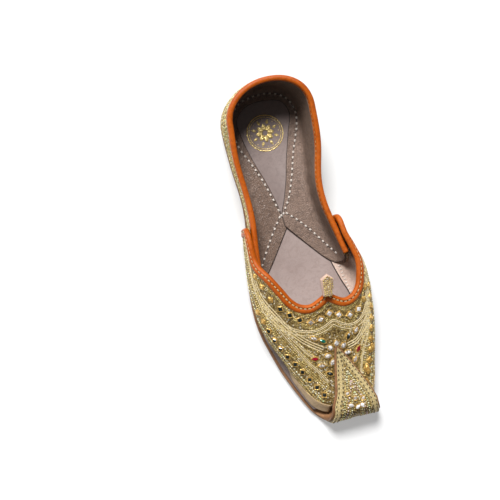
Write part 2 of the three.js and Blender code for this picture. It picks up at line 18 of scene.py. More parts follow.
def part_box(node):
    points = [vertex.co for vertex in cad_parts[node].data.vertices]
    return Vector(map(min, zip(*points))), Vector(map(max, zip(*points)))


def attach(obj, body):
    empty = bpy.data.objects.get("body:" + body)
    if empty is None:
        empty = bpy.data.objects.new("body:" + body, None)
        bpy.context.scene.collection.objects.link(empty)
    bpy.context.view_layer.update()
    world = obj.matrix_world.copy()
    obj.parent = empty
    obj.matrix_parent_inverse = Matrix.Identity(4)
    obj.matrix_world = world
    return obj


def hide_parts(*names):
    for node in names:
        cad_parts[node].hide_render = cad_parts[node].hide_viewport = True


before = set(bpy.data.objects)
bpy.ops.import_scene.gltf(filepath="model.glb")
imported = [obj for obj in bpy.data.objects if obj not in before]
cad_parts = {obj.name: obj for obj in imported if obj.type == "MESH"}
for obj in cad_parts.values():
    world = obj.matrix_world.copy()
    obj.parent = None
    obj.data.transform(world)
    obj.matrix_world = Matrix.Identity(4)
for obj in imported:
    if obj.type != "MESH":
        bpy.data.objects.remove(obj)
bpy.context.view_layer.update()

MM = 0.001
SIDES = {"outer": -1, "inner": 1}
UP = np.array([0.0, 0.0, 1.0])
# The origin's s, the layers under the foot, the gap between parts and the upper's wall.
HEEL_SEAT = 30.0
SOLE_THICK = 4.0
MIDSOLE_THICK = 2.4
INSOLE_THICK = 2.6
GAP = 0.3
WALL = 2.0
# A wall's section is part of a superellipse above its widest line and draws in below it. A flare is what a
# wall leans out by at FLARE_HEIGHT above that line.
SECTION_POWER = 2.2
TUCK_SHARE = 0.16
WIDEST_ABOVE_FEATHER = 9.0
LOW_CROWN = 22.0
FLARE_HEIGHT = 25.0
# The quarter's back is a superellipse in plan, over a share of its length on each side.
HEEL_POWER = 2.1
HEEL_SKEW = 3.0
HEEL_SHARE = 0.3


# ---- tables ---------------------------------------------------------------------------------------

def table(columns, rows):
    """A table as a dictionary of columns."""
    return dict(zip(columns.split(), np.array(rows, float).T))


SOLE = table("s outer inner lift", [
    (0, -29, 28, 0),
    (30, -30, 28.5, 0),
    (55, -29.6, 26, 0),
    (80, -28.2, 23.4, 1.2),
    (98, -29.4, 24.6, 1.5),
    (120, -33.6, 32.8, 0.6),
    (132, -35.8, 38.6, 0.2),
    (143, -37.4, 42.2, 0),
    (165, -38.2, 43.6, 0),
    (180, -36.2, 42.6, 0),
    (192, -33, 41, 0),
    (205, -29.2, 38.8, 0.2),
    (217, -24.5, 36.2, 0.5),
    (229, -19.2, 33.8, 0.9),
    (238, -14.6, 32.4, 1),
])

# The insides of the quarter and of the vamp: x of the widest line and of the lower edge on each side,
# x and height of the ridge, and how far a wall flares outwards.
QUARTER = table("s outer inner foot_outer foot_inner ridge crown flare_outer flare_inner", [
    (0, -28.8, 27.8, -27.4, 25.9, -0.6, 104, 0.2, 2),
    (30, -28.8, 27.8, -27.4, 25.9, -0.6, 104, 0.6, 2.2),
    (55, -28.4, 25.4, -27, 23.4, -1.6, 98, 2, 4.4),
    (80, -26.8, 21.8, -25.6, 20.8, -2.4, 84, 2.6, 4.6),
    (98, -27.6, 22.8, -25.8, 21.4, -1.6, 72, 1.6, 4.4),
    (120, -31, 28.4, -28, 26.8, 3, 57, 1.4, 3),
    (143, -34.4, 34.4, -31.2, 31.8, 8, 44.5, 1, 2),
])
VAMP = table("s outer inner foot_outer foot_inner ridge crown flare_outer flare_inner", [
    (98, -32, 27.8, -28.1, 23.6, -1.4, 73.5, 4.4, 5.6),
    (120, -35, 33, -30.4, 29.4, 3.4, 59.2, 2.8, 2.8),
    (132, -36.6, 38.4, -32.2, 34.8, 6, 52.8, 2, 1.2),
    (143, -37.7, 42.4, -33.6, 38.6, 8.4, 46.9, 1.4, 0.6),
    (158, -37.4, 43.6, -34.1, 40, 10, 38.4, 0, 0),
    (170, -36.4, 42.6, -33.1, 40, 10.4, 32.6, 0, 0),
    (182, -33, 41.4, -30.3, 38.8, 10.6, 27.8, 0, 0),
    (194, -27.8, 39.4, -25.1, 36.8, 10.6, 23.6, 0, 0),
    (206, -22.6, 36.6, -20.4, 34.4, 11, 19.9, 0, 0),
    (218, -17, 33.6, -15, 31.6, 11.4, 16.6, 0, 0),
    (230, -11.8, 30.8, -9.6, 28.9, 12, 14, 0, 0),
    (240, -8, 29, -6, 27, 12.4, 12.2, 0, 0),
])
TOE_CAP_FROM, TOE_CAP_END, TOE_CAP_RISE = 230.0, 238.6, 2.0

HEEL_BACK = table("height forward", [(6, 4.8), (20, 3), (38, 3.8), (54, 5.6)])
COLLAR = table("s height", [
    (0, 51), (14, 50), (32, 46), (55, 40.5), (80, 36), (105, 33.2), (134, 29.6),
])
QUARTER_FRONT_TOP, QUARTER_FRONT_FOOT = 136.0, 142.0

# The vamp's edge on each side: in plan round the throat, then down the wing's rear edge.
THROAT = {
    -1: table("s x", [
        (158.9, 10), (162.2, 4.6), (165.2, -3.6), (163.2, -10.6), (158, -16), (149, -20.8), (139, -25.8),
    ]),
    1: table("s x", [
        (158.9, 10), (162.6, 14.4), (166.2, 21.4), (164.6, 27.8), (159.4, 32.6), (150, 35.6), (141, 36.4),
    ]),
}
WING = {
    -1: table("s height", [
        (127, 36), (115, 37), (107, 36.4), (103.2, 32.6), (102.6, 25), (103, 13), (104, 8),
    ]),
    1: table("s height", [
        (128, 36.4), (118, 37), (111.4, 36), (108.6, 32.4), (108, 25), (108.4, 13), (109, 8),
    ]),
}

# The folded tip's rows from the top of the curl to the flap's point: its face in side view, the row's middle
# and half width, and how much lower the row's ends are.
CURL_RADIUS, CURL_LIFT, CURL_CENTRE = 10.4, 1.0, 238.0
FLAP = table("s height mid half crown", [
    (238, 22.2, 14.4, 16.6, 1.6),
    (231, 23, 14.8, 13.4, 2),
    (219, 23.5, 13.4, 9.4, 1.4),
    (208, 24.8, 11.6, 5.6, 0.5),
    (199.6, 26.6, 10, 2.2, 0),
    (197.4, 27.2, 9.8, 0.6, 0),
])
FOLD_MID, FOLD_HALF = 13.4, 19.0
COVER_MARGIN, COVER_THICK = 1.3, 1.3
COVER_TOP = GAP + COVER_THICK


# ---- curves and the last --------------------------------------------------------------------------

def follow(rows, key, at, by="s"):
    """The smooth curve through one column of a table, read at values of another column."""
    x, y = rows[by], rows[key]
    index = np.arange(len(x))
    before, after = np.maximum(index - 1, 0), np.minimum(index + 1, len(x) - 1)
    slope = (y[after] - y[before]) / (x[after] - x[before])
    at = np.asarray(at, float)
    i = np.clip(np.searchsorted(x, at) - 1, 0, len(x) - 2)
    h = x[i + 1] - x[i]
    t = np.clip((at - x[i]) / h, 0, 1)
    u = 1 - t
    bend = t * u * h * (u * slope[i] - t * slope[i + 1])
    return u * u * (1 + 2 * t) * y[i] + t * t * (1 + 2 * u) * y[i + 1] + bend


def mix(a, b, t):
    return a + (b - a) * t


def ease(t):
    """0 to 1 with a soft start and end."""
    t = np.clip(t, 0, 1)
    return t * t * (3 - 2 * t)


def place(x, s, z):
    """Points in the frame from x, s and height."""
    x, s, z = np.broadcast_arrays(x, s, z)
    return np.stack([x, HEEL_SEAT - s, z], -1).astype(float)


def unit(v):
    return v / np.maximum(np.linalg.norm(v, axis=-1, keepdims=True), 1e-12)


def run_along(points):
    """The distance along a line, or along each row of a grid, at each of its points."""
    run = np.cumsum(np.linalg.norm(np.diff(points, axis=-2), axis=-1), axis=-1)
    return np.concatenate([np.zeros_like(run[..., :1]), run], -1)


def read_at(distance, run, rows):
    """Rows of values along a line, read at distances along it."""
    return np.stack([np.interp(distance, run, column) for column in rows.T], -1)


def relax(rows, times):
    """Draws each row but the first and last towards the middle of its neighbours, in place."""
    for _ in range(times):
        rows[1:-1] = rows[1:-1] * 0.5 + (rows[:-2] + rows[2:]) * 0.25


def moved_aside(path, distance):
    """A flat path moved sideways."""
    along = unit(np.gradient(path, axis=0))
    return path + np.stack([-along[:, 1], along[:, 0]], -1) * distance


def sole_lift(s):
    return np.maximum(follow(SOLE, "lift", s), 0)


def insole_bottom(s):
    return sole_lift(s) + SOLE_THICK + MIDSOLE_THICK + 2 * GAP


def insole_top(s):
    return insole_bottom(s) + INSOLE_THICK


def toe_tip():
    """x and height of the toe's foremost point."""
    return follow(VAMP, "ridge", TOE_CAP_END) - 1, insole_bottom(TOE_CAP_END) + TOE_CAP_RISE


def section(last, s, side):
    """The measures of one side of a last's section at s."""
    outer = np.asarray(side) < 0

    def pick(outer_key, inner_key):
        return np.where(outer, follow(last, outer_key, s), follow(last, inner_key, s))

    ridge, crown, foot = follow(last, "ridge", s), follow(last, "crown", s), insole_bottom(s)
    return {
        "ridge": ridge,
        "crown": crown,
        "foot": foot,
        "reach": side * (pick("outer", "inner") - ridge),
        "foot_reach": side * (pick("foot_outer", "foot_inner") - ridge),
        "flare": pick("flare_outer", "flare_inner"),
        "widest": foot + WIDEST_ABOVE_FEATHER * np.minimum(1, (crown - foot) / LOW_CROWN),
    }


def section_point(last, s, side, around):
    """around is 0 at the lower edge, TUCK_SHARE at the widest line and 1 at the ridge."""
    m = section(last, s, side)
    t = 1 - around / TUCK_SHARE
    angle = np.clip((around - TUCK_SHARE) / (1 - TUCK_SHARE), 0, 1) * math.pi / 2
    out = np.maximum(np.cos(angle), 0) ** (2 / SECTION_POWER)
    above = m["widest"] + (m["crown"] - m["widest"]) * np.sin(angle) ** (2 / SECTION_POWER)
    flared = (m["reach"] + m["flare"] * ((above - m["widest"]) / FLARE_HEIGHT) ** 2) * out
    low = around < TUCK_SHARE
    reach = np.where(low, mix(m["reach"], m["foot_reach"], t * t), flared)
    z = np.where(low, mix(m["widest"], m["foot"], t), above)
    x = m["ridge"] + side * reach
    # The toe's sections draw in to one foremost point and close as a rounded cap.
    share = np.clip((s - TOE_CAP_FROM) / (TOE_CAP_END - TOE_CAP_FROM), 0, 1)
    round_cap = np.sqrt(1 - share * share)
    tip_x, tip_z = toe_tip()
    return place(mix(tip_x, x, round_cap ** 0.8), s, mix(tip_z, z, round_cap))


def around_at_height(last, s, height):
    """The way round a section at which its wall reaches a height."""
    m = section(last, s, 1)
    below = TUCK_SHARE * (height - m["foot"]) / (m["widest"] - m["foot"])
    rise = np.clip((height - m["widest"]) / (m["crown"] - m["widest"]), 0, 1)
    above = TUCK_SHARE + (1 - TUCK_SHARE) * np.arcsin(rise ** (SECTION_POWER / 2)) / (math.pi / 2)
    return np.where(height <= m["foot"] + 0.5, 0, np.where(height <= m["widest"], below, above))


def around_at_x(last, s, side, x):
    """The way round a section at which its upper part is over x."""
    m = section(last, s, side)
    out = np.clip(np.abs(x - m["ridge"]) / m["reach"], 0, 1)
    return TUCK_SHARE + (1 - TUCK_SHARE) * np.arccos(out ** (SECTION_POWER / 2)) / (math.pi / 2)


def out_of(up, along, keep_down):
    """The way out of a wall; near its foot a way down is kept only in part."""
    out = unit(np.cross(up, along))
    out[..., 2] = np.where(out[..., 2] < 0, out[..., 2] * keep_down, out[..., 2])
    return unit(out)


def quarter_point(u, v):
    """The quarter's inside: u runs from the outer front end round the heel to the inner one, v is up."""
    u, v = np.broadcast_arrays(np.asarray(u, float), np.asarray(v, float))
    side = np.where(u < 0.5, -1.0, 1.0)
    from_heel = np.abs(u - 0.5) * 2
    share = np.clip((from_heel - HEEL_SHARE) / (1 - HEEL_SHARE), 0, 1)
    s = mix(HEEL_SEAT, mix(QUARTER_FRONT_FOOT, QUARTER_FRONT_TOP, v), share)
    top = around_at_height(QUARTER, s, follow(COLLAR, "height", np.minimum(s, QUARTER_FRONT_TOP)))
    wall = section_point(QUARTER, s, side, v * top)
    turn = np.clip(1 - from_heel / HEEL_SHARE, 0, 1) * math.pi / 2
    heel_s = HEEL_SEAT * (1 - np.sin(turn))
    heel_top = around_at_height(QUARTER, HEEL_SEAT, follow(COLLAR, "height", heel_s))
    flat = section_point(QUARTER, np.full(u.shape, HEEL_SEAT), side, v * heel_top)
    middle = follow(QUARTER, "ridge", HEEL_SEAT)
    back = HEEL_SEAT - follow(HEEL_BACK, "forward", flat[..., 2], "height")
    power = 2 / HEEL_POWER
    round_heel = place(
        middle + (flat[..., 0] - middle) * np.cos(turn) ** power + HEEL_SKEW * np.sin(turn) ** 2,
        HEEL_SEAT - back * np.sin(turn) ** power,
        flat[..., 2],
    )
    return np.where((from_heel >= HEEL_SHARE)[..., None], wall, round_heel)


def quarter_out(u, v):
    """The quarter's way out."""
    d = 1e-3
    up = quarter_point(u, np.minimum(v + d, 1)) - quarter_point(u, np.maximum(v - d, 0))
    along = quarter_point(np.minimum(u + d, 1), v) - quarter_point(np.maximum(u - d, 0), v)
    return out_of(up, along, ease(v * 3))


def smooth_path(points, count):
    """A centripetal curve through points, as count + 1 points evenly spaced along it."""
    p = np.asarray(points, float)
    p = np.vstack([2 * p[0] - p[1], p, 2 * p[-1] - p[-2]])
    fine = []
    for a, b, c, d in zip(p, p[1:], p[2:], p[3:]):
        k = [math.sqrt(max(np.linalg.norm(q - r), 1e-6)) for q, r in ((b, a), (c, b), (d, c))]
        m1 = ((b - a) / k[0] - (c - a) / (k[0] + k[1]) + (c - b) / k[1]) * k[1]
        m2 = ((c - b) / k[1] - (d - b) / (k[1] + k[2]) + (d - c) / k[2]) * k[1]
        t = np.linspace(0, 1, 41)[:-1, None]
        fine.append((2 * t**3 - 3 * t**2 + 1) * b + (t**3 - 2 * t**2 + t) * m1
                    + (3 * t**2 - 2 * t**3) * c + (t**3 - t**2) * m2)
    fine = np.vstack([*fine, p[-2:-1]])
    run = run_along(fine)
    return read_at(np.linspace(0, run[-1], count + 1), run, fine)


# The way round a section, times this, is about its length in millimetres. Lines are smoothed in s and that.
EDGE_STRETCH = 60.0
EDGE_STEPS = 400


def vamp_edge(side):
    """The vamp's edge from the throat's peak to the wing's foot, as (s, stretched way round)."""
    throat, wing = THROAT[side], WING[side]
    around = around_at_x(VAMP, throat["s"], side, throat["x"])
    around[0] = 1
    rear = around_at_height(VAMP, wing["s"], wing["height"])
    s = np.concatenate([throat["s"], wing["s"]])
    turn = np.concatenate([around, rear]) * EDGE_STRETCH
    return smooth_path(np.stack([s, turn], -1), EDGE_STEPS)


EDGES = {side: vamp_edge(side) for side in SIDES.values()}


def vamp_wall(s, side, around, distance):
    """A point at a distance out of the vamp's inside, and the way out there."""
    def at(ds, turn):
        return section_point(VAMP, s + ds, side, np.clip(around + turn, 0, 1))

    along = at(0.1 * side, 0) - at(-0.1 * side, 0)
    out = out_of(at(0, 1e-3) - at(0, -1e-3), along, ease(around / TUCK_SHARE))
    return at(0, 0) + out * distance, out


def vamp_point(u, v, distance):
    """A point at a distance out of the vamp's inside, and the way out there. u runs from the inner wing's
    foot over the throat to the outer one's, and v from the edge to the toe."""
    u, v = np.broadcast_arrays(np.asarray(u, float), np.asarray(v, float))
    side = np.where(u < 0.5, 1.0, -1.0)
    along_edge = np.abs(u - 0.5) * 2
    steps = np.linspace(0, 1, EDGE_STEPS + 1)
    outer, inner = (read_at(along_edge, steps, EDGES[sign]) for sign in SIDES.values())
    edge = np.where(side[..., None] > 0, inner, outer)
    s = mix(edge[..., 0], TOE_CAP_END, 1 - (1 - v) ** 1.25)
    around = mix(np.minimum(edge[..., 1] / EDGE_STRETCH, 1), 1 - along_edge, 0.85 * ease(v))
    return vamp_wall(s, side, around, distance)


# ---- meshes ---------------------------------------------------------------------------------------

MERGE_WITHIN = 2e-6


def new_mesh(name, points, edges=(), faces=()):
    """A mesh from points in millimetres."""
    mesh = bpy.data.meshes.new(name)
    mesh.from_pydata((np.reshape(points, (-1, 3)) * MM).tolist(), edges, faces)
    return mesh


def face_out(mesh, merge=False):
    """Turns a mesh's faces outwards, and merges its doubles first where asked."""
    made = bmesh.new()
    made.from_mesh(mesh)
    if merge:
        bmesh.ops.remove_doubles(made, verts=made.verts, dist=MERGE_WITHIN)
    bmesh.ops.recalc_face_normals(made, faces=made.faces)
    made.to_mesh(mesh)
    made.free()


def in_scene(name, data):
    """A new object in the scene."""
    obj = bpy.data.objects.new(name, data)
    bpy.context.scene.collection.objects.link(obj)
    return obj


def smooth_object(name, mesh, *finishes):
    """A smooth-shaded object with its finishes."""
    mesh.polygons.foreach_set("use_smooth", [True] * len(mesh.polygons))
    for finish in finishes:
        mesh.materials.append(finish)
    return in_scene(name, mesh)


def grid_faces(rows, columns, start=0, ring=False):
    """Four-sided faces over a grid of points; a ring's last column meets its first."""
    last = columns if ring else columns - 1
    return [
        (start + i * columns + j, start + i * columns + (j + 1) % columns,
         start + (i + 1) * columns + (j + 1) % columns, start + (i + 1) * columns + j)
        for i in range(rows - 1) for j in range(last)
    ]


def sheet_object(name, outside, inside, *finishes):
    """A sheet with a thickness between two grids of the same size. A second finish is for its inside."""
    rows, columns = outside.shape[:2]
    count = rows * columns
    edge = ([(0, j) for j in range(columns)] + [(i, columns - 1) for i in range(1, rows)]
            + [(rows - 1, j) for j in range(columns - 2, -1, -1)] + [(i, 0) for i in range(rows - 2, 0, -1)])
    loop = [i * columns + j for i, j in edge]
    rim = [(a, b, b + count, a + count) for a, b in zip(loop, loop[1:] + loop[:1])]
    faces = grid_faces(rows, columns) + grid_faces(rows, columns, count) + rim
    mesh = new_mesh(name, np.concatenate([outside, inside]), (), faces)
    if len(finishes) == 2:
        side_faces = (rows - 1) * (columns - 1)
        slot = np.zeros(len(faces), int)
        slot[side_faces:2 * side_faces] = 1
        mesh.polygons.foreach_set("material_index", slot)
    face_out(mesh, merge=True)
    return smooth_object(name, mesh, *finishes)


def bar_object(name, rings, finish):
    """A bar from rings of points, closed at both ends."""
    rows, columns = rings.shape[:2]
    faces = grid_faces(rows, columns, ring=True)
    faces += [tuple(range(columns)), tuple(range((rows - 1) * columns, rows * columns))]
    mesh = new_mesh(name, rings, (), faces)
    face_out(mesh)
    return smooth_object(name, mesh, finish)


SHARP = math.radians(40)


def bevelled_copy(name, node, width, segments, finish):
    """A copy of a CAD node with its hard edges rounded."""
    made = bmesh.new()
    made.from_mesh(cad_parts[node].data)
    bmesh.ops.remove_doubles(made, verts=made.verts, dist=MERGE_WITHIN)
    hard = [edge for edge in made.edges if len(edge.link_faces) == 2 and edge.calc_face_angle() > SHARP]
    bmesh.ops.bevel(made, geom=hard, offset=width * MM, segments=segments, profile=0.5, affect="EDGES",
                    clamp_overlap=True)
    mesh = bpy.data.meshes.new(name)
    made.to_mesh(mesh)
    made.free()
    obj = smooth_object(name, mesh, finish)
    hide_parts(node)
    return obj


def keep(obj):
    """obj is finished: it rides on the shoe."""
    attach(obj, "root")
    return obj


# ---- shader groups --------------------------------------------------------------------------------

class Graph:
    """Short calls that add nodes to a node tree and link them."""

    def __init__(self, tree):
        self.tree = tree

    def node(self, kind, inputs=None, **settings):
        made = self.tree.nodes.new(kind)
        for key, value in settings.items():
            setattr(made, key, value)
        for key, value in (inputs or {}).items():
            self.feed(made.inputs[key], value)
        return made

    def feed(self, socket, value):
        if isinstance(value, bpy.types.NodeSocket):
            self.tree.links.new(value, socket)
        else:
            socket.default_value = value

    def math(self, operation, a, b):
        return self.node("ShaderNodeMath", {0: a, 1: b}, operation=operation).outputs[0]

    def blend(self, share, a, b):
        made = self.node("ShaderNodeMix", data_type="RGBA")
        self.feed(made.inputs[0], share)
        self.feed(made.inputs[6], a)
        self.feed(made.inputs[7], b)
        return made.outputs[2]

    def ramp(self, value, low, high):
        """0 below low, 1 above high, smooth between."""
        inputs = {0: value, 1: low, 2: high}
        return self.node("ShaderNodeMapRange", inputs, interpolation_type="SMOOTHSTEP").outputs[0]


def colour(r, g, b):
    return (r, g, b, 1.0)


def shader_group(name, inputs, outputs, build):
    """A shader node group with named sockets; inputs are (name, kind, default)."""
    tree = bpy.data.node_groups.new(name, "ShaderNodeTree")
    for label, kind, default in inputs:
        socket = tree.interface.new_socket(label, in_out="INPUT", socket_type="NodeSocket" + kind)
        socket.default_value = default
    for label, kind in outputs:
        tree.interface.new_socket(label, in_out="OUTPUT", socket_type="NodeSocket" + kind)
    graph = Graph(tree)
    source, target = graph.node("NodeGroupInput"), graph.node("NodeGroupOutput")
    for label, value in build(graph, source.outputs).items():
        graph.feed(target.inputs[label], value)
    return tree


def leather_grain(g, given):
    """Pebbled grain with fine wrinkles, paler where rubbed and darker where handled."""
    where = g.node("ShaderNodeTexCoord").outputs["Object"]
    cells = g.node("ShaderNodeTexVoronoi", {"Vector": where, "Scale": given["Grain scale"]},
                   feature="DISTANCE_TO_EDGE")
    pores = g.ramp(cells.outputs["Distance"], 0.0, 0.16)
    wrinkle = g.node("ShaderNodeTexNoise", {"Vector": where, "Scale": 260.0, "Detail": 5.0,
                                            "Distortion": 1.6})
    cloud = g.node("ShaderNodeTexNoise", {"Vector": where, "Scale": 26.0, "Detail": 3.0})
    height = g.math("ADD", g.math("MULTIPLY", pores, 0.6), wrinkle.outputs["Fac"])
    bump = g.node("ShaderNodeBump", {"Strength": given["Depth"], "Distance": 0.0006, "Height": height})
    shade = g.ramp(cloud.outputs["Fac"], 0.32, 0.68)
    tint = g.blend(g.math("MULTIPLY", shade, given["Clouding"]), given["Colour"], given["Worn colour"])
    tint = g.blend(g.math("MULTIPLY", g.math("SUBTRACT", 1.0, pores), 0.35), tint, given["Pore colour"])
    streak = g.ramp(wrinkle.outputs["Fac"], 0.44, 0.66)
    tint = g.blend(g.math("MULTIPLY", streak, g.math("MULTIPLY", given["Clouding"], 0.55)), tint,
                   given["Pore colour"])
    rough = g.math("ADD", given["Roughness"], g.math("MULTIPLY", g.math("SUBTRACT", shade, 0.5), 0.16))
    return {"Colour": tint, "Roughness": rough, "Normal": bump.outputs["Normal"]}


LEATHER = shader_group(
    "Leather grain",
    [("Colour", "Color", colour(0.5, 0.3, 0.2)), ("Worn colour", "Color", colour(0.6, 0.4, 0.3)),
     ("Pore colour", "Color", colour(0.2, 0.1, 0.1)), ("Grain scale", "Float", 900.0),
     ("Depth", "Float", 0.3), ("Clouding", "Float", 0.5), ("Roughness", "Float", 0.5)],
    [("Colour", "Color"), ("Roughness", "Float"), ("Normal", "Vector")],
    leather_grain,
)


def glitter(g, given):
    """Close-set metal thread and sequins: small cells that each take their own tone and tilt. A few cells are
    painted near-white as glints.
    """
    where = g.node("ShaderNodeTexCoord").outputs["Object"]
    cells = g.node("ShaderNodeTexVoronoi", {"Vector": where, "Scale": given["Cell scale"]})
    split = g.node("ShaderNodeSeparateColor", {"Color": cells.outputs["Color"]})
    dome = g.math("SUBTRACT", 1.0, cells.outputs["Distance"])
    tone = g.blend(split.outputs[0], given["Dark"], given["Light"])
    # Painted glints: a few cells are blended towards near-white, standing for highlights.
    painted_glint = g.ramp(split.outputs[1], 0.88, 0.9)
    tone = g.blend(g.math("MULTIPLY", painted_glint, given["Painted glints"]), tone, colour(0.98, 0.94, 0.78))
    gap = g.ramp(cells.outputs["Distance"], 0.42, 0.75)
    tone = g.blend(g.math("MULTIPLY", gap, 0.75), tone, given["Between"])
    height = g.math("ADD", dome, g.math("MULTIPLY", split.outputs[2], 0.5))
    bump = g.node("ShaderNodeBump", {"Strength": 0.8, "Distance": 0.0005, "Height": height})
    rough = g.math("ADD", 0.24, g.math("MULTIPLY", split.outputs[0], 0.3))
    return {"Colour": tone, "Roughness": rough, "Normal": bump.outputs["Normal"]}


GLITTER = shader_group(
    "Metal thread ground",
    [("Light", "Color", colour(0.8, 0.7, 0.4)), ("Dark", "Color", colour(0.4, 0.3, 0.1)),
     ("Between", "Color", colour(0.2, 0.15, 0.05)), ("Cell scale", "Float", 900.0),
     ("Painted glints", "Float", 0.8)],
    [("Colour", "Color"), ("Roughness", "Float"), ("Normal", "Vector")],
    glitter,
)


# ---- materials ------------------------------------------------------------------------------------

def material(name, group, values, **principled):
    """A Principled material whose colour, roughness and normal come from a shader group."""
    made = bpy.data.materials.new(name)
    made.use_nodes = True
    tree = made.node_tree
    bsdf = tree.nodes["Principled BSDF"]
    effect = tree.nodes.new("ShaderNodeGroup")
    effect.node_tree = group
    for key, value in values.items():
        effect.inputs[key].default_value = value
    tree.links.new(effect.outputs["Colour"], bsdf.inputs["Base Color"])
    tree.links.new(effect.outputs["Roughness"], bsdf.inputs["Roughness"])
    tree.links.new(effect.outputs["Normal"], bsdf.inputs["Normal"])
    for key, value in principled.items():
        bsdf.inputs[key.replace("_", " ")].default_value = value
    made.diffuse_color = values.get("Colour", values.get("Light"))
    return made


def leather(name, base, worn, pore, scale, depth, clouding, rough, **principled):
    return material(name, LEATHER, {
        "Colour": colour(*base), "Worn colour": colour(*worn), "Pore colour": colour(*pore),
        "Grain scale": scale, "Depth": depth, "Clouding": clouding, "Roughness": rough}, **principled)


# painted_glints is how strongly near-white glints are painted into the thread's colour.
def metal_thread(name, light, dark, between, scale, painted_glints, metallic):
    return material(name, GLITTER, {
        "Light": colour(*light), "Dark": colour(*dark), "Between": colour(*between),
        "Cell scale": scale, "Painted glints": painted_glints}, Metallic=metallic)


TAN = leather(
    "tan sole leather", (0.22, 0.095, 0.033), (0.34, 0.165, 0.065), (0.1, 0.04, 0.014),
    scale=1500, depth=0.4, clouding=0.8, rough=0.6)
UMBER = leather(
    "umber rolled edge", (0.18, 0.132, 0.12), (0.28, 0.215, 0.198), (0.03, 0.02, 0.02),
    scale=1400, depth=0.15, clouding=0.5, rough=0.36, Coat_Weight=0.22)
TAUPE_SMOOTH = leather(
    "taupe insole", (0.3, 0.232, 0.212), (0.39, 0.31, 0.285), (0.24, 0.18, 0.16),
    scale=1300, depth=0.06, clouding=0.7, rough=0.36, Coat_Weight=0.12)
TAUPE_PAD = leather(
    "heel pad leather", (0.2, 0.15, 0.136), (0.27, 0.21, 0.192), (0.15, 0.11, 0.098),
    scale=1300, depth=0.06, clouding=0.7, rough=0.4, Coat_Weight=0.1)
TAUPE_GRAIN = leather(
    "taupe lining", (0.205, 0.135, 0.1), (0.29, 0.2, 0.155), (0.08, 0.054, 0.042),
    scale=850, depth=0.8, clouding=0.75, rough=0.42)
PINK_LINING = leather(
    "vamp lining", (0.58, 0.43, 0.35), (0.68, 0.53, 0.44), (0.3, 0.2, 0.16),
    scale=900, depth=0.2, clouding=0.6, rough=0.55)
RAND_LEATHER = leather(
    "pale rand leather", (0.46, 0.32, 0.17), (0.56, 0.41, 0.24), (0.2, 0.12, 0.06),
    scale=1400, depth=0.3, clouding=0.7, rough=0.55)
# Painted shade: near-black leather for thin cords that stand for the shadow in the creases at turned edges
# and seams.
CREASE_SHADE = leather(
    "painted crease shade", (0.03, 0.02, 0.017), (0.05, 0.035, 0.03), (0.015, 0.01, 0.01),
    scale=1100, depth=0.1, clouding=0.5, rough=0.6)
TAB_LEATHER = leather(
    "rose tan tab leather", (0.62, 0.42, 0.33), (0.74, 0.55, 0.44), (0.36, 0.22, 0.16),
    scale=800, depth=0.2, clouding=0.6, rough=0.5)
ORANGE = leather(
    "orange binding", (0.46, 0.09, 0.002), (0.55, 0.12, 0.004), (0.22, 0.03, 0.001),
    scale=1500, depth=0.25, clouding=0.7, rough=0.46, Specular_IOR_Level=0.28)
CREAM = metal_thread(
    "cream zari", (0.76, 0.61, 0.3), (0.54, 0.41, 0.17), (0.36, 0.25, 0.1),
    scale=1900, painted_glints=0.2, metallic=0.15)
ZARI_CORD = metal_thread(
    "pale zari cord", (0.97, 0.84, 0.54), (0.8, 0.64, 0.34), (0.5, 0.36, 0.16),
    scale=2100, painted_glints=0.2, metallic=0.1)
GROUND = metal_thread(
    "gold embroidery ground", (0.46, 0.33, 0.12), (0.17, 0.105, 0.028), (0.06, 0.033, 0.01),
    scale=1050, painted_glints=0.6, metallic=0.25)
BEAD_GOLD = metal_thread(
    "gold beads", (1.0, 0.82, 0.34), (0.4, 0.26, 0.06), (0.22, 0.13, 0.03),
    scale=760, painted_glints=0.75, metallic=0.35)
# Dark beads: strewn on the vamp they are a bead colour, and on the curl's rim they are painted shade.
BEAD_DARK = metal_thread(
    "dark bronze beads and rim shade", (0.2, 0.14, 0.05), (0.07, 0.045, 0.018), (0.03, 0.02, 0.01),
    scale=420, painted_glints=0.1, metallic=0.5)
CUP_GOLD = metal_thread(
    "gold stone cups", (0.9, 0.62, 0.2), (0.7, 0.42, 0.1), (0.3, 0.16, 0.03),
    scale=700, painted_glints=0.1, metallic=0.55)
FOIL = metal_thread(
    "gilt foil", (0.95, 0.75, 0.33), (0.8, 0.6, 0.22), (0.6, 0.42, 0.13),
    scale=900, painted_glints=0.1, metallic=0.55)
CRYSTAL = metal_thread(
    "small crystals", (0.92, 0.92, 0.74), (0.56, 0.62, 0.26), (0.5, 0.4, 0.2),
    scale=380, painted_glints=0.9, metallic=0.3)
CRYSTAL_ROSE = metal_thread(
    "small rose crystals", (0.95, 0.85, 0.85), (0.72, 0.48, 0.42), (0.4, 0.3, 0.2),
    scale=380, painted_glints=0.8, metallic=0.3)
THREAD_WHITE = metal_thread(
    "white thread", (0.86, 0.8, 0.74), (0.72, 0.64, 0.56), (0.5, 0.4, 0.34),
    scale=2400, painted_glints=0, metallic=0)
THREAD_GOLD = metal_thread(
    "gold thread", (0.86, 0.68, 0.34), (0.66, 0.46, 0.16), (0.4, 0.24, 0.06),
    scale=2400, painted_glints=0.2, metallic=0.3)
THREAD_PALE = metal_thread(
    "pale gold thread", (0.9, 0.76, 0.45), (0.78, 0.6, 0.3), (0.5, 0.34, 0.12),
    scale=2400, painted_glints=0.2, metallic=0.1)
THREAD_DARK = metal_thread(
    "dark thread", (0.16, 0.12, 0.05), (0.09, 0.07, 0.03), (0.06, 0.04, 0.02),
    scale=2400, painted_glints=0, metallic=0.2)


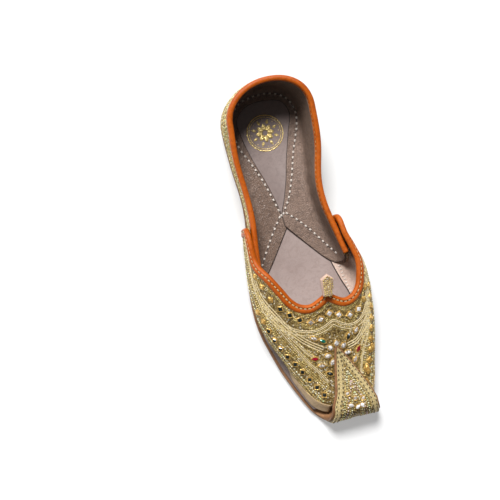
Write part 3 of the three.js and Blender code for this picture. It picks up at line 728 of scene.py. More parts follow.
def stone_finish(name, deep, bright, metallic=0.0):
    """A faceted glass stone with foil behind it: its colour goes in flecks from deep to bright, reflections
    of its facets painted over its tint, with a hard clear skin.
    """
    made = bpy.data.materials.new(name)
    made.use_nodes = True
    g = Graph(made.node_tree)
    bsdf = made.node_tree.nodes["Principled BSDF"]
    where = g.node("ShaderNodeTexCoord").outputs["Object"]
    painted_facet_flecks = g.node("ShaderNodeTexVoronoi", {"Vector": where, "Scale": 900.0})
    share = g.node("ShaderNodeSeparateColor", {"Color": painted_facet_flecks.outputs["Color"]}).outputs[0]
    g.feed(bsdf.inputs["Base Color"], g.blend(share, colour(*deep), colour(*bright)))
    bsdf.inputs["Metallic"].default_value = metallic
    bsdf.inputs["Roughness"].default_value = 0.06
    bsdf.inputs["Coat Weight"].default_value = 0.4
    bsdf.inputs["Coat Roughness"].default_value = 0.05
    made.diffuse_color = colour(*bright)
    return made


# Each stone's deep and bright colours are its tint with painted facet reflections: dark and bright flecks.
STONE_CLEAR = stone_finish("clear glass stone", (0.22, 0.19, 0.17), (1.0, 1.0, 1.0), 0.1)
STONE_PETAL = stone_finish("clear petal stone", (0.09, 0.07, 0.06), (0.95, 0.93, 0.9), 0.1)
STONE_SMOKE = stone_finish("smoky glass stone", (0.24, 0.2, 0.17), (0.85, 0.8, 0.74), 0.25)
STONE_DARK = stone_finish("dark glass stone", (0.004, 0.005, 0.006), (0.02, 0.03, 0.03))
STONE_GREEN = stone_finish("green glass stone", (0.0, 0.05, 0.035), (0.01, 0.22, 0.14), 0.2)
STONE_RED = stone_finish("red glass stone", (0.14, 0.0, 0.01), (0.42, 0.01, 0.03), 0.2)
STONE_AMBER = stone_finish("amber glass stone", (0.55, 0.3, 0.06), (0.9, 0.6, 0.2), 0.5)


# ---- geometry node trees: what repeats along a line, at places, or over a surface -----------------

def geometry_tree(name, inputs):
    """A geometry tree with named inputs, (name, kind, default); its graph, and its inputs' sockets."""
    tree = bpy.data.node_groups.new(name, "GeometryNodeTree")
    tree.interface.new_socket("Geometry", in_out="INPUT", socket_type="NodeSocketGeometry")
    for label, kind, default in inputs:
        socket = tree.interface.new_socket(label, in_out="INPUT", socket_type="NodeSocket" + kind)
        if default is not None:
            socket.default_value = default
    tree.interface.new_socket("Geometry", in_out="OUTPUT", socket_type="NodeSocketGeometry")
    graph = Graph(tree)
    return tree, graph, graph.node("NodeGroupInput").outputs


def tree_end(graph, geometry, finish, shade_smooth=True):
    """Real geometry with one material is what leaves the tree."""
    real = graph.node("GeometryNodeRealizeInstances", {"Geometry": geometry}).outputs[0]
    smooth = graph.node("GeometryNodeSetShadeSmooth", {"Geometry": real, "Shade Smooth": shade_smooth})
    painted = graph.node("GeometryNodeSetMaterial", {"Geometry": smooth.outputs[0], "Material": finish})
    graph.feed(graph.node("NodeGroupOutput").inputs[0], painted.outputs[0])


def vector_attribute(graph, name):
    """A vector that the source holds for each of its points."""
    made = graph.node("GeometryNodeInputNamedAttribute", data_type="FLOAT_VECTOR")
    made.inputs["Name"].default_value = name
    return made.outputs["Attribute"]


def turned(graph, out, along):
    """The turn that lays a piece's z on the way out and its x on the way along."""
    made = graph.node("FunctionNodeAxesToRotation", {"Primary Axis": out, "Secondary Axis": along})
    made.primary_axis, made.secondary_axis = "Z", "X"
    return made.outputs[0]


def line_of(graph, given, step):
    """The source's edges as a curve with points a step apart."""
    line = graph.node("GeometryNodeMeshToCurve", {"Mesh": given["Geometry"]})
    inputs = {"Curve": line.outputs[0], "Length": given[step]}
    return graph.node("GeometryNodeResampleCurve", inputs, mode="LENGTH").outputs[0]


def piece_of(graph, given):
    """The geometry of the tree's small piece."""
    info = graph.node("GeometryNodeObjectInfo", {"Object": given["Piece"]}, transform_space="ORIGINAL")
    return info.outputs["Geometry"]


def row_tree():
    """Copies of a piece at even spacing along lines that know their way out of the surface."""
    tree, g, given = geometry_tree("Row along a line", [
        ("Piece", "Object", None), ("Spacing", "Float", 0.002), ("Size", "Float", 1.0),
        ("Material", "Material", None)])
    along = g.node("GeometryNodeInputTangent").outputs[0]
    copies = g.node("GeometryNodeInstanceOnPoints", {
        "Points": line_of(g, given, "Spacing"), "Instance": piece_of(g, given),
        "Rotation": turned(g, vector_attribute(g, "out"), along), "Scale": given["Size"]})
    tree_end(g, copies.outputs[0], given["Material"])
    return tree


def set_tree():
    """One copy of a piece at each place, turned to its way out and its way along."""
    tree, g, given = geometry_tree("Pieces at places", [
        ("Piece", "Object", None), ("Flat faces", "Bool", False), ("Material", "Material", None)])
    copies = g.node("GeometryNodeInstanceOnPoints", {
        "Points": given["Geometry"], "Instance": piece_of(g, given),
        "Rotation": turned(g, vector_attribute(g, "out"), vector_attribute(g, "along")),
        "Scale": vector_attribute(g, "size")})
    smooth = g.node("FunctionNodeBooleanMath", {0: given["Flat faces"]}, operation="NOT").outputs[0]
    tree_end(g, copies.outputs[0], given["Material"], smooth)
    return tree


def cord_tree():
    """A round cord along each line."""
    tree, g, given = geometry_tree("Cord along a line", [
        ("Radius", "Float", 0.0004), ("Sides", "Int", 6), ("Step", "Float", 0.001),
        ("Material", "Material", None)])
    outline = g.node("GeometryNodeCurvePrimitiveCircle", {
        "Resolution": given["Sides"], "Radius": given["Radius"]}).outputs[0]
    tube = g.node("GeometryNodeCurveToMesh", {"Curve": line_of(g, given, "Step"), "Profile Curve": outline})
    tube.inputs["Fill Caps"].default_value = True
    tree_end(g, tube.outputs[0], given["Material"])
    return tree


def scatter_tree():
    """Copies of a piece strewn over a surface, where its "room" is above zero."""
    tree, g, given = geometry_tree("Strewn over a surface", [
        ("Piece", "Object", None), ("Apart", "Float", 0.001), ("Per square metre", "Float", 1e5),
        ("Smallest", "Float", 0.6), ("Largest", "Float", 1.0), ("Seed", "Int", 1),
        ("Material", "Material", None)])
    room = g.node("GeometryNodeInputNamedAttribute", data_type="FLOAT")
    room.inputs["Name"].default_value = "room"
    strewn = g.node("GeometryNodeDistributePointsOnFaces", {
        "Mesh": given["Geometry"], "Distance Min": given["Apart"], "Density Max": given["Per square metre"],
        "Density Factor": room.outputs["Attribute"], "Seed": given["Seed"]}, distribute_method="POISSON")
    size = g.node("FunctionNodeRandomValue", {"Seed": given["Seed"]}, data_type="FLOAT")
    g.feed(size.inputs[2], given["Smallest"])
    g.feed(size.inputs[3], given["Largest"])
    copies = g.node("GeometryNodeInstanceOnPoints", {
        "Points": strewn.outputs["Points"], "Instance": piece_of(g, given),
        "Rotation": strewn.outputs["Rotation"], "Scale": size.outputs[1]})
    tree_end(g, copies.outputs[0], given["Material"], False)
    return tree


ROW, SET, CORD, SCATTER = row_tree(), set_tree(), cord_tree(), scatter_tree()


def grown(name, source, tree, slot, **inputs):
    """Runs a tree on source and keeps the result as a plain mesh named name. source is used up."""
    bpy.context.scene.collection.objects.link(source)
    modifier = source.modifiers.new("tree", "NODES")
    modifier.node_group = tree
    sockets = {s.name: s.identifier for s in tree.interface.items_tree if s.in_out == "INPUT"}
    for key, value in inputs.items():
        modifier[sockets[key.replace("_", " ")]] = value
    mesh = bpy.data.meshes.new_from_object(source.evaluated_get(bpy.context.evaluated_depsgraph_get()))
    obj = in_scene(name, mesh)
    bpy.data.objects.remove(source)
    return keep(obj)


def bare(name, points, edges=(), faces=(), **attributes):
    """A source for a tree: an object outside the scene with attributes on its points."""
    mesh = new_mesh(name, points, edges, faces)
    for key, value in attributes.items():
        kind, field = ("FLOAT_VECTOR", "vector") if np.ndim(value) == 2 else ("FLOAT", "value")
        attribute = mesh.attributes.new(key, kind, "POINT")
        attribute.data.foreach_set(field, np.ravel(value).astype(np.float32))
    return bpy.data.objects.new(name, mesh)


def lines_source(lines):
    """Lines, each (points, ways out), as one object of edges."""
    points = np.concatenate([p for p, _ in lines])
    outs = np.concatenate([o for _, o in lines])
    edges, start = [], 0
    for p, _ in lines:
        edges += [(start + i, start + i + 1) for i in range(len(p) - 1)]
        start += len(p)
    return bare("lines", points, edges, out=outs)


def places_source(places):
    """Places as one object of points: each is (point, way out, way along, size)."""
    at, out, along, size = (np.array(column, float) for column in zip(*places))
    return bare("places", at, out=out, along=along, size=size)


def raised(line, distance):
    """A line moved out of its surface."""
    points, outs = line
    return points + outs * distance, outs


def spread(line, spacing, begin=0.0):
    """Evenly spaced places on a line: (point, way out, way along)."""
    points, outs = line
    run = run_along(points)
    stops = np.arange(begin, run[-1], spacing)
    ahead, behind = (read_at(stops + step, run, points) for step in (0.5, -0.5))
    return list(zip(read_at(stops, run, points), unit(read_at(stops, run, outs)), unit(ahead - behind)))


# ---- small pieces that are repeated -----------------------------------------------------------------

def stacked(name, rings):
    """A closed small piece from rings of equal count, each a list of points, from low to high."""
    count, top = len(rings[0]), (len(rings) - 1) * len(rings[0])
    faces = grid_faces(len(rings), count, ring=True)
    faces += [tuple(range(top, top + count)), tuple(range(count))]
    mesh = new_mesh(name, np.concatenate(rings), (), faces)
    face_out(mesh)
    return bpy.data.objects.new(name, mesh)


def circle(count, radius, z):
    a = np.arange(count) * 2 * math.pi / count
    return np.stack([np.cos(a) * radius, np.sin(a) * radius, np.full(count, z)], -1)


def pointed(count, length, width, z, back=0.0):
    """An outline that is pointed at the front: a teardrop's, or a navette's when back is 1."""
    a = np.arange(count) * 2 * math.pi / count
    x = np.cos(a)
    slim = 1 - np.clip(x, 0, 1) ** 2 * 0.55 - back * np.clip(-x, 0, 1) ** 2 * 0.55
    return np.stack([x * length / 2, np.sin(a) * slim * width / 2, np.full(count, z)], -1)


BEAD = stacked("bead", [circle(6, 0.55, 0.05), circle(6, 0.95, 0.5), circle(6, 0.6, 0.95)])


def stitch(name, half_length, half_width):
    """One stitch lying along x, its ends rounded, its foot just under the surface."""
    outline = [(-1, -0.35), (-0.8, -1), (0.8, -1), (1, -0.35), (1, 0.35), (0.8, 1), (-0.8, 1), (-1, 0.35)]
    return stacked(name, [
        [(x * half_length * long, y * half_width * wide, z) for x, y in outline]
        for long, wide, z in ((1, 1, -0.25), (1, 1, 0.2), (0.84, 0.48, 0.48))])


STITCH = stitch("stitch", 1.0, 0.5)
HEAVY_STITCH = stitch("heavy_stitch", 0.8, 0.62)
# Stones and their cups, one ring of each outline at each height: (radius, z) or (length, width, z).
SQUARE_STONE = stacked("square_stone", [circle(4, *ring) for ring in ((1.0, 0), (1.0, 0.35), (0.62, 0.72))])
SQUARE_CUP = stacked("square_cup", [
    circle(4, *ring) for ring in ((1.48, 0), (1.48, 0.34), (1.28, 0.56), (1.02, 0.5), (1.0, 0.2))])
NAVETTE = stacked("navette", [
    pointed(12, *ring, 1) for ring in ((2, 1.05, 0), (2, 1.05, 0.3), (1, 0.525, 0.62))])
NAVETTE_CUP = stacked("navette_cup", [
    pointed(12, *ring, 1) for ring in ((2.8, 1.8, 0), (2.7, 1.7, 0.34), (2.2, 1.2, 0.4), (2, 1, 0.1))])
TEARDROP = stacked("teardrop", [
    pointed(14, *ring) for ring in ((2, 1.4, 0), (2, 1.4, 0.35), (0.9, 0.63, 0.8))])
TEARDROP_CUP = stacked("teardrop_cup", [
    pointed(14, *ring) for ring in ((2.6, 2.0, 0), (2.5, 1.9, 0.36), (2.1, 1.5, 0.4), (1.9, 1.3, 0.1))])
SMALL_PIECES = [
    BEAD, STITCH, HEAVY_STITCH, SQUARE_STONE, SQUARE_CUP, NAVETTE, NAVETTE_CUP, TEARDROP, TEARDROP_CUP,
]


# ---- upper: two hollow shells ----------------------------------------------------------------------

u_vamp, v_vamp = np.meshgrid(np.linspace(0, 1, 181), np.linspace(0, 1, 73), indexing="ij")
vamp_under, vamp_normals = vamp_point(u_vamp, v_vamp, 0.0)
vamp_over = vamp_under + vamp_normals * WALL
tip_x, tip_z = toe_tip()
toe_point = place(tip_x, TOE_CAP_END, tip_z)
vamp_under[:, -1] = toe_point
vamp_over[:, -1] = toe_point - np.array([0, WALL, 0])
vamp = sheet_object("vamp_shell", vamp_over, vamp_under, GROUND, PINK_LINING)
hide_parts("upper_vamp")
keep(vamp)

u_quarter, v_quarter = np.meshgrid(np.linspace(0, 1, 161), np.linspace(0, 1, 25), indexing="ij")
quarter_under = quarter_point(u_quarter, v_quarter)
quarter_over = quarter_under + quarter_out(u_quarter, v_quarter) * WALL
quarter = sheet_object("quarter_shell", quarter_over, quarter_under, GROUND, TAUPE_GRAIN)
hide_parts("upper_quarter")
keep(quarter)


def surface_of(obj):
    """An object's surface, for lines to be laid on."""
    mesh = obj.data
    return BVHTree.FromPolygons([v.co[:] for v in mesh.vertices], [p.vertices[:] for p in mesh.polygons])


DROP_FROM, DOWN = 80.0, Vector((0, 0, -1))


def dropped(surface, path):
    """Lays plan points on a surface from above: the points there and the ways out."""
    points, outs = [], []
    for x, s in path:
        hit, normal, _, _ = surface.ray_cast(Vector((x * MM, (HEEL_SEAT - s) * MM, DROP_FROM * MM)), DOWN)
        if hit is None:
            continue
        points.append(np.array(hit) / MM)
        outs.append(np.array(normal if normal.z > 0 else -normal))
    return np.array(points), np.array(outs)


vamp_surface = surface_of(vamp)


# ---- bindings ---------------------------------------------------------------------------------------

BINDING_THICK = 0.55
BINDING_CLEAR = 1.2 * GAP


def binding_profile(outside, inside, groove_outside):
    """The folded strip's section: x is out of the wall and y is up past its edge. outside and inside are its
    legs' lengths, and one leg has a sewn groove."""
    inner, outer, t = -BINDING_CLEAR, WALL + BINDING_CLEAR, BINDING_THICK

    def leg(face, sense, reach, groove):
        rows = [(0.5, -reach), (1, 0.4 - reach), (1.15, -2.0)]
        if groove:
            rows = [(0.4, -reach), (1.0, 0.35 - reach), (1.35, 1.1 - reach), (1.35, -2.0), (0.95, -1.55),
                    (0.2, -1.15), (0.05, -0.75), (0.3, -0.35), (1.1, -0.1)]
        return [(face + sense * t * thick, y) for thick, y in rows]

    half = (outer - inner) / 2 + t * 1.15
    arc = np.linspace(0.1, math.pi - 0.1, 13)
    roll = [(WALL / 2 + half * math.cos(a), -0.05 + 1.5 * math.sin(a)) for a in arc]
    right = leg(outer, 1, outside, groove_outside)
    left = leg(inner, -1, inside, not groove_outside)[::-1]
    return np.array(right + roll + left + [(inner, -inside), (inner, 0.5), (outer, 0.5), (outer, -outside)])


def edge_stations(count, ends, edge_at):
    """Along an edge, less its ends: the wall's inside, its way out, and the way on past the edge."""
    u = np.linspace(ends, 1 - ends, count + 1)
    at, out = edge_at(u)
    along = edge_at(np.minimum(u + 2e-3, 1))[0] - edge_at(np.maximum(u - 2e-3, 0))[0]
    return at, out, unit(np.cross(along, out))


def binding(name, node, stations, profile):
    """A folded strip along an edge, in place of a CAD node."""
    at, out, up = stations
    rings = at[:, None] + out[:, None] * profile[None, :, :1] + up[:, None] * profile[None, :, 1:]
    obj = bar_object(name, rings, ORANGE)
    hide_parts(node)
    keep(obj)


def quarter_edge_point(u):
    return quarter_point(u, 1.0), quarter_out(u, np.ones_like(u))


def vamp_edge_point(u):
    return vamp_point(u, np.zeros_like(u), 0.0)


quarter_stations = edge_stations(220, 0.004, quarter_edge_point)
vamp_stations = edge_stations(320, 0.022, vamp_edge_point)
binding("quarter_binding_strip", "quarter_binding", quarter_stations, binding_profile(4.2, 4.8, False))
binding("vamp_binding_strip", "vamp_binding", vamp_stations, binding_profile(4.3, 3.4, True))

GROOVE_DEPTH, GROOVE_DOWN = BINDING_THICK * 0.3, 0.78


def groove_line(stations, face, sense):
    """The bottom of a binding's sewn groove, on the leg that lies on one face of the wall."""
    at, out, up = stations
    return at + out * (face + sense * GROOVE_DEPTH) + up * -GROOVE_DOWN, out * sense


grown("vamp_binding_stitches", lines_source([groove_line(vamp_stations, WALL + BINDING_CLEAR, 1)]), ROW,
      "gold_embroidery", Piece=STITCH, Spacing=0.0031, Size=0.95, Material=THREAD_PALE)
grown("quarter_binding_stitches", lines_source([groove_line(quarter_stations, -BINDING_CLEAR, -1)]), ROW,
      "gold_embroidery", Piece=STITCH, Spacing=0.0033, Size=0.85, Material=THREAD_GOLD)

# ---- sole layers, toe flap and tab ------------------------------------------------------------------

# The outsole's trimmed edge stands proud of the rolled edge along the outer side of the forepart, more and
# more from PROUD_FROM on.
EDGE_PROUD, PROUD_FROM, PROUD_GROWS = 0.9, 95, 90
outsole = bevelled_copy("outsole_leather", "outsole", 0.5, 2, TAN)
for vertex in outsole.data.vertices:
    s_vertex = HEEL_SEAT - vertex.co.y / MM
    share_out = np.clip(vertex.co.x / MM / np.interp(s_vertex, SOLE["s"], SOLE["outer"]), 0, 1)
    vertex.co.x -= EDGE_PROUD * MM * share_out * ease((s_vertex - PROUD_FROM) / PROUD_GROWS)
keep(outsole)
keep(bevelled_copy("midsole_rolled_edge", "midsole", 1.1, 4, UMBER))
keep(bevelled_copy("insole_leather", "insole", 0.4, 2, TAUPE_SMOOTH))


COVER_STEPS = 90
COVER_COLUMNS = ("mid", "half", "crown", "s", "height")


def cover_rows():
    """The cover's rows from under the curl to the flap's point, with COVER_COLUMNS in each."""
    end_mid = (SOLE["outer"][-1] + SOLE["inner"][-1]) / 2
    end_half = (SOLE["inner"][-1] - SOLE["outer"][-1]) / 2
    rows = []
    # The cover starts a third of the way round the curl.
    for t in np.linspace(0, 1, 10)[3:]:
        turn = math.radians(mix(-90, 84, t))
        bent, after = min(t / 0.5, 1), max(t / 0.5 - 1, 0)
        rows.append((
            mix(mix(end_mid, FOLD_MID, ease(bent)), FLAP["mid"][0], ease(after)),
            mix(mix(end_half, FOLD_HALF, bent ** 0.7), FLAP["half"][0], ease(after)),
            mix(0, FLAP["crown"][0], t),
            CURL_CENTRE + CURL_RADIUS * math.cos(turn),
            CURL_LIFT + CURL_RADIUS + CURL_RADIUS * math.sin(turn),
        ))
    flap = np.stack([FLAP[key] for key in COVER_COLUMNS], -1)[1:]
    return smooth_path(np.vstack([rows, flap]), COVER_STEPS)


COVER = cover_rows()
LEAST_HALF = 0.3


def cover_at(t, shift=0):
    """The cover's measures at t, or a row or two from there."""
    steps = np.clip(np.asarray(t, float) * COVER_STEPS + shift, 0, COVER_STEPS)
    found = read_at(steps, np.arange(COVER_STEPS + 1), COVER)
    return dict(zip(COVER_COLUMNS, np.moveaxis(found, -1, 0)))


def cover_half(t):
    return cover_at(t)["half"] - COVER_MARGIN


def cover_point(t, across, lift_by):
    """On the cover: t runs from under the curl to the flap's point, across from -1 to 1."""
    here, before, after = (cover_at(t, shift) for shift in (0, -1, 1))
    mid, half, crown, s, z = here.values()
    run_s, run_z = after["s"] - before["s"], after["height"] - before["height"]
    size = np.hypot(run_s, run_z)
    out_s, out_z = run_z / size, -run_s / size
    reach = across * np.maximum(half - COVER_MARGIN, LEAST_HALF)
    tilt = 2 * crown * reach / np.maximum(half, 0.1) ** 2
    point = place(mid + reach, s + out_s * lift_by, z + out_z * lift_by - crown * (reach / half) ** 2)
    return point, unit(np.stack(np.broadcast_arrays(tilt * out_z, -out_s, out_z), -1))


t_cover, x_cover = np.meshgrid(np.linspace(0, 1, COVER_STEPS + 1), np.linspace(-1, 1, 33), indexing="ij")
cover_over = cover_point(t_cover, x_cover, COVER_TOP)[0]
cover_under = cover_point(t_cover, x_cover, GAP)[0]
cover = sheet_object("flap_cover", cover_over, cover_under, GROUND)
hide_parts("toe_cover")
keep(cover)

BAND_WIDE, BAND_BULGE = 4.9, 0.55


def flap_band(name, side):
    """A cream braid along one edge of the flap, over the curl. Gives the lines of its rows of stitches."""
    t = np.linspace(0.1, 0.985, 90)
    half = np.maximum(cover_half(t), LEAST_HALF)
    width = np.minimum(BAND_WIDE, half * 0.98)
    share = np.linspace(0, 1, 9)
    across = side * (1 - (width / half)[:, None] * share[None])
    bulge = BAND_BULGE * np.sin(np.clip(share, 0.02, 0.98) * math.pi) ** 0.4
    over, normal = cover_point(np.broadcast_to(t[:, None], across.shape), across, COVER_TOP)
    top = over + normal * bulge[None, :, None]
    keep(sheet_object(name, top, over - normal * 0.1, CREAM))
    rows = []
    for inset in (1.0, 3.9):
        a = side * (1 - np.minimum(inset, width * inset / BAND_WIDE) / half)
        p, n = cover_point(t[2:-6], a[2:-6], COVER_TOP)
        rows.append((p + n * 0.5, n))
    return rows


band_rows = [row for label, side in SIDES.items() for row in flap_band("flap_band_" + label, side)]
grown("flap_band_stitches", lines_source(band_rows), ROW, "gold_embroidery", Piece=STITCH, Spacing=0.0032,
      Size=0.8, Material=THREAD_DARK)

tab = bevelled_copy("throat_tab_leather", "throat_tab", 0.25, 2, TAB_LEATHER)
keep(tab)
tab_surface = surface_of(tab)
tab_low, tab_high = (np.array(corner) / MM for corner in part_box("throat_tab"))
tab_back, tab_front = HEEL_SEAT - tab_high[1], HEEL_SEAT - tab_low[1]
tab_middle = (tab_low[0] + tab_high[0]) / 2

# The tab's root turns down behind the binding and is sewn inside the throat's peak.
TAB_ROOT_HALF, TAB_ROOT_THICK = 2.3, 1.1
peak_height = follow(VAMP, "crown", THROAT[1]["s"][0])
root_path = smooth_path([
    (tab_front - 3, tab_low[2] + 1.4), (156.3, peak_height + 1.6), (155.9, peak_height - 0.6),
    (157.2, peak_height - 2.6), (160.5, peak_height - 3.4),
], 24)
root_across = np.linspace(-TAB_ROOT_HALF, TAB_ROOT_HALF, 7)
root_grid = place(tab_middle + root_across[None], root_path[:, :1], root_path[:, 1:])
root_out = unit(np.cross(np.gradient(root_grid, axis=0), np.gradient(root_grid, axis=1)))
root_half = root_out * TAB_ROOT_THICK / 2
tab_root = sheet_object("throat_tab_root", root_grid + root_half, root_grid - root_half, TAB_LEATHER)
keep(tab_root)

# ---- lining panels --------------------------------------------------------------------------------

# The quarter lining's turned edge on the insole: from the crossing along the outer side, round the heel and
# back along the inner side.
PANEL_EDGE = [
    (-1.6, 106.2), (-3.6, 97.1), (-4.9, 89.4), (-9.1, 71.4), (-14.5, 53.9), (-18.4, 36), (-18.8, 24),
    (-10, 15.6), (4.4, 14), (16.4, 17.4), (20.4, 26.5), (16.2, 40), (9.9, 59.6), (6, 73.5), (1.1, 87.1),
    (-2.7, 96.5), (-2.8, 105.7),
]
# The vamp lining's turned edge on the insole, from the quarter's front end towards the toe.
VAMP_LINING_EDGE = {
    -1: table("s x", [
        (134, -24), (144, -25.5), (154, -28), (165, -29.5), (178, -28.5), (192, -24), (206, -18),
    ]),
    1: table("s x", [
        (134, 22.6), (142.3, 24.8), (152.6, 27.8), (162.9, 31.3), (175, 32.6), (190, 31.4), (206, 28),
    ]),
}
VAMP_LINING_TOP = table("s height", [(134, 31), (150, 31), (158, 29), (170, 24), (185, 20), (206, 15)])
LINING_THICK = 0.9
LINING_OFF_WALL = 0.35
COLUMN_POINTS = 64


def turned_sheet(wall, start, stop_short, knee, soften):
    """A lining's under side in columns: from a turned edge on the insole, over it, and up a wall.
    wall is (columns, points up, 3) and start the edge's plan points. knee is the share of its way over the
    insole at which a column has come level with its place on the wall. Gives the grid and its ways in."""
    columns = []
    for rise, (x, s), turn_at in zip(wall, start, knee):
        s_foot = HEEL_SEAT - rise[0, 1]
        up = rise[rise[:, 2] > insole_top(s_foot) + 0.5]
        t = np.linspace(0, 1, 30)
        flat = place(mix(x, up[0, 0], t), mix(s, HEEL_SEAT - up[0, 1], np.minimum(t / turn_at, 1)), 0)
        flat[:, 2] = insole_top(np.clip(HEEL_SEAT - flat[:, 1], 0, 229)) + 0.05
        path = np.vstack([flat, up])
        run = run_along(path)
        path = read_at(np.linspace(0, run[-1] - stop_short, COLUMN_POINTS), run, path)
        relax(path, soften)
        columns.append(path)
    grid = np.array(columns)
    relax(grid[:, 1:], 3)
    inward = unit(np.cross(np.gradient(grid, axis=1), np.gradient(grid, axis=0)))
    on_insole = inward[len(grid) // 2, 12]
    return grid, -inward if on_insole[2] < 0 else inward


def lay_sheet(name, grid, inward, thick, raise_by, finish):
    """A lining on its under side's grid: the piece, and the grid of its top."""
    top = grid + inward * thick + raise_by
    obj = sheet_object(name, top, grid + inward * 0.05 + raise_by * 0.6, finish)
    return keep(obj), top


LINING_COLUMNS, EDGE_POINTS = 241, 2400
u_lining = np.linspace(0, 1, LINING_COLUMNS)
edge_share = np.interp(u_lining, [0, 0.1, 0.194, 0.3, 0.35, 0.5, 0.65, 0.7, 0.806, 0.9, 1],
                       [0, 0.05, 0.15, 0.29, 0.37, 0.5, 0.63, 0.71, 0.85, 0.95, 1])
edge_path = smooth_path(PANEL_EDGE, EDGE_POINTS)[np.round(edge_share * EDGE_POINTS).astype(int)]
v_wall = np.linspace(0, 1, 41)
quarter_wall = (quarter_point(u_lining[:, None], v_wall[None])
                - quarter_out(u_lining[:, None], v_wall[None]) * LINING_OFF_WALL)
knee = 1 - 0.2 * (ease(1 - u_lining / 0.16) + ease(1 - (1 - u_lining) / 0.16))
grid, inward = turned_sheet(quarter_wall, edge_path, 2.2, knee, 90)
up_share = np.linspace(0, 1, COLUMN_POINTS)[None, :, None]
# Soft creases where the lining bends at the waist on each side: (where along it, width, depth).
CREASES = [
    (0.17, 0.012, 0.5), (0.205, 0.01, 0.35), (0.24, 0.013, 0.45),
    (0.775, 0.012, 0.5), (0.812, 0.01, 0.35), (0.845, 0.013, 0.4),
]
crease = np.zeros((LINING_COLUMNS, 1, 1))
for centre, width, depth in CREASES:
    crease += -depth * np.exp(-((u_lining - centre) / width) ** 2)[:, None, None]
lining_depth = LINING_THICK + crease * ease((up_share - 0.25) * 4) * ease((1 - up_share) * 3)
# The inner front end lies over the outer one.
end_lift = np.interp(u_lining, [0, 0.86, 0.94, 1], [0, 0, 0.6, 0.7])[:, None, None]
raise_by = end_lift * (1 - ease(up_share * 2.2)) * UP
lining, lining_top = lay_sheet("quarter_lining", grid, inward, lining_depth, raise_by, TAUPE_GRAIN)
lining_surface = surface_of(lining)

# Thin dark cords of painted shade, for the shadow in the crease at each turned edge, lie just inside the
# turned edges, and up part of the quarter lining's ends.
SHADED_UP = 44
shaded_edges = [
    lining_top[:, 0] - inward[:, 0] * 0.45,
    lining_top[0, :SHADED_UP] - inward[0, :SHADED_UP] * 0.45,
    lining_top[-1, :SHADED_UP] - inward[-1, :SHADED_UP] * 0.45,
]
s_lining = np.linspace(134, 206, 61)
top_turn = around_at_height(VAMP, s_lining, follow(VAMP_LINING_TOP, "height", s_lining))
rise = np.linspace(0, 1, 31)[None] * top_turn[:, None]
vamp_linings = {}
for label, side in SIDES.items():
    wall = vamp_wall(s_lining[:, None], side, rise, -LINING_OFF_WALL)[0]
    begin = np.stack([follow(VAMP_LINING_EDGE[side], "x", s_lining), s_lining], -1)
    grid, inward = turned_sheet(wall, begin, 0.3, np.ones(len(s_lining)), 40)
    vamp_linings[label], top = lay_sheet("vamp_lining_" + label, grid, inward, 0.6, np.zeros(3), PINK_LINING)
    shaded_edges.append(top[:, 0] - inward[:, 0] * 0.25)
shade_lines = [(points, np.tile(UP, (len(points), 1))) for points in shaded_edges]
grown("lining_edge_paint", lines_source(shade_lines), CORD, "umber_leather", Radius=0.00042,
      Material=CREASE_SHADE)

# The heel pad lies on the insole, under the lining's turned edges.
PAD_THICK = 0.35
PAD = table("s left right", [
    (10, -12, 15), (20, -21, 23), (36, -21.5, 22.5), (54, -18, 19), (72, -12.5, 13), (88, -8, 5),
    (99, -4.6, 0),
])
pad_rows = np.linspace(PAD["s"][0], PAD["s"][-1], 61)
s_pad, pad_share = np.meshgrid(pad_rows, np.linspace(0, 1, 25), indexing="ij")
pad_x = mix(follow(PAD, "left", s_pad), follow(PAD, "right", s_pad), pad_share)
pad_low = place(pad_x, s_pad, insole_top(s_pad) + 0.02)
keep(sheet_object("heel_pad", pad_low + UP * PAD_THICK, pad_low, TAUPE_PAD))

# The seams sewn through the lining: round the heel, and along the two front edges.
HEEL_SEAM = [
    (-3.8, 97.6), (-7.6, 82), (-11.8, 67.3), (-17, 54), (-21.2, 45), (-23.4, 35), (-22.6, 22),
    (-14.5, 12.6), (-3, 9.6), (8, 9.8), (16.8, 13.2), (22, 19), (24.3, 27), (23.2, 36), (20, 45),
    (16.2, 54.5), (9.6, 74.4), (4, 87.4), (-2, 96.6),
]
FRONT_SEAMS = [
    [(-5.3, 98.6), (-12.6, 108.5), (-19.4, 118.8), (-25.6, 129)],
    [(0.4, 97), (6.8, 103.4), (14.1, 112.2), (21.2, 122.4), (28, 132.6)],
]
seams = [raised(dropped(lining_surface, smooth_path(path, count)), 0.1)
         for path, count in [(HEEL_SEAM, 260)] + [(path, 70) for path in FRONT_SEAMS]]
grown("lining_seams", lines_source(seams), ROW, "taupe_leather", Piece=HEAVY_STITCH, Spacing=0.0041,
      Size=1.12, Material=THREAD_WHITE)
# Dark cords sunk just under the seams are painted shade in their channels.
grown("lining_seam_channels", lines_source([raised(line, -0.22) for line in seams]), CORD, "taupe_leather",
      Radius=0.0003, Material=CREASE_SHADE)

# Short crosswise stitches up the vamp lining on the inner side.
LADDER = [(28.8, 142.5), (29.9, 150.3), (31.4, 158.6), (33, 166)]
ladder = dropped(surface_of(vamp_linings["inner"]), smooth_path(LADDER, 100))
rungs = [(at, out, np.cross(out, along), (0.9, 0.9, 0.9)) for at, out, along in spread(ladder, 2.5)]
grown("vamp_lining_ladder", places_source(rungs), SET, "taupe_leather", Piece=STITCH, Material=THREAD_WHITE)

# ---- gilt rosette on the heel pad -----------------------------------------------------------------

ROSETTE_X, ROSETTE_S = -0.6, 37.1
ROSETTE_RINGS = [(13.0, 0.42), (11.6, 0.22)]
ROSETTE_PETALS = [(8, 4.2, 2.5, 0), (8, 8.2, 1.5, math.pi / 8), (16, 9.9, 0.45, 0)]
rosette_z = insole_top(ROSETTE_S) + PAD_THICK + 0.02
ring_turns = np.linspace(0, 2 * math.pi, 121)


def around_rosette(radius, angle):
    return place(ROSETTE_X + radius * np.cos(angle), ROSETTE_S + radius * np.sin(angle), rosette_z)


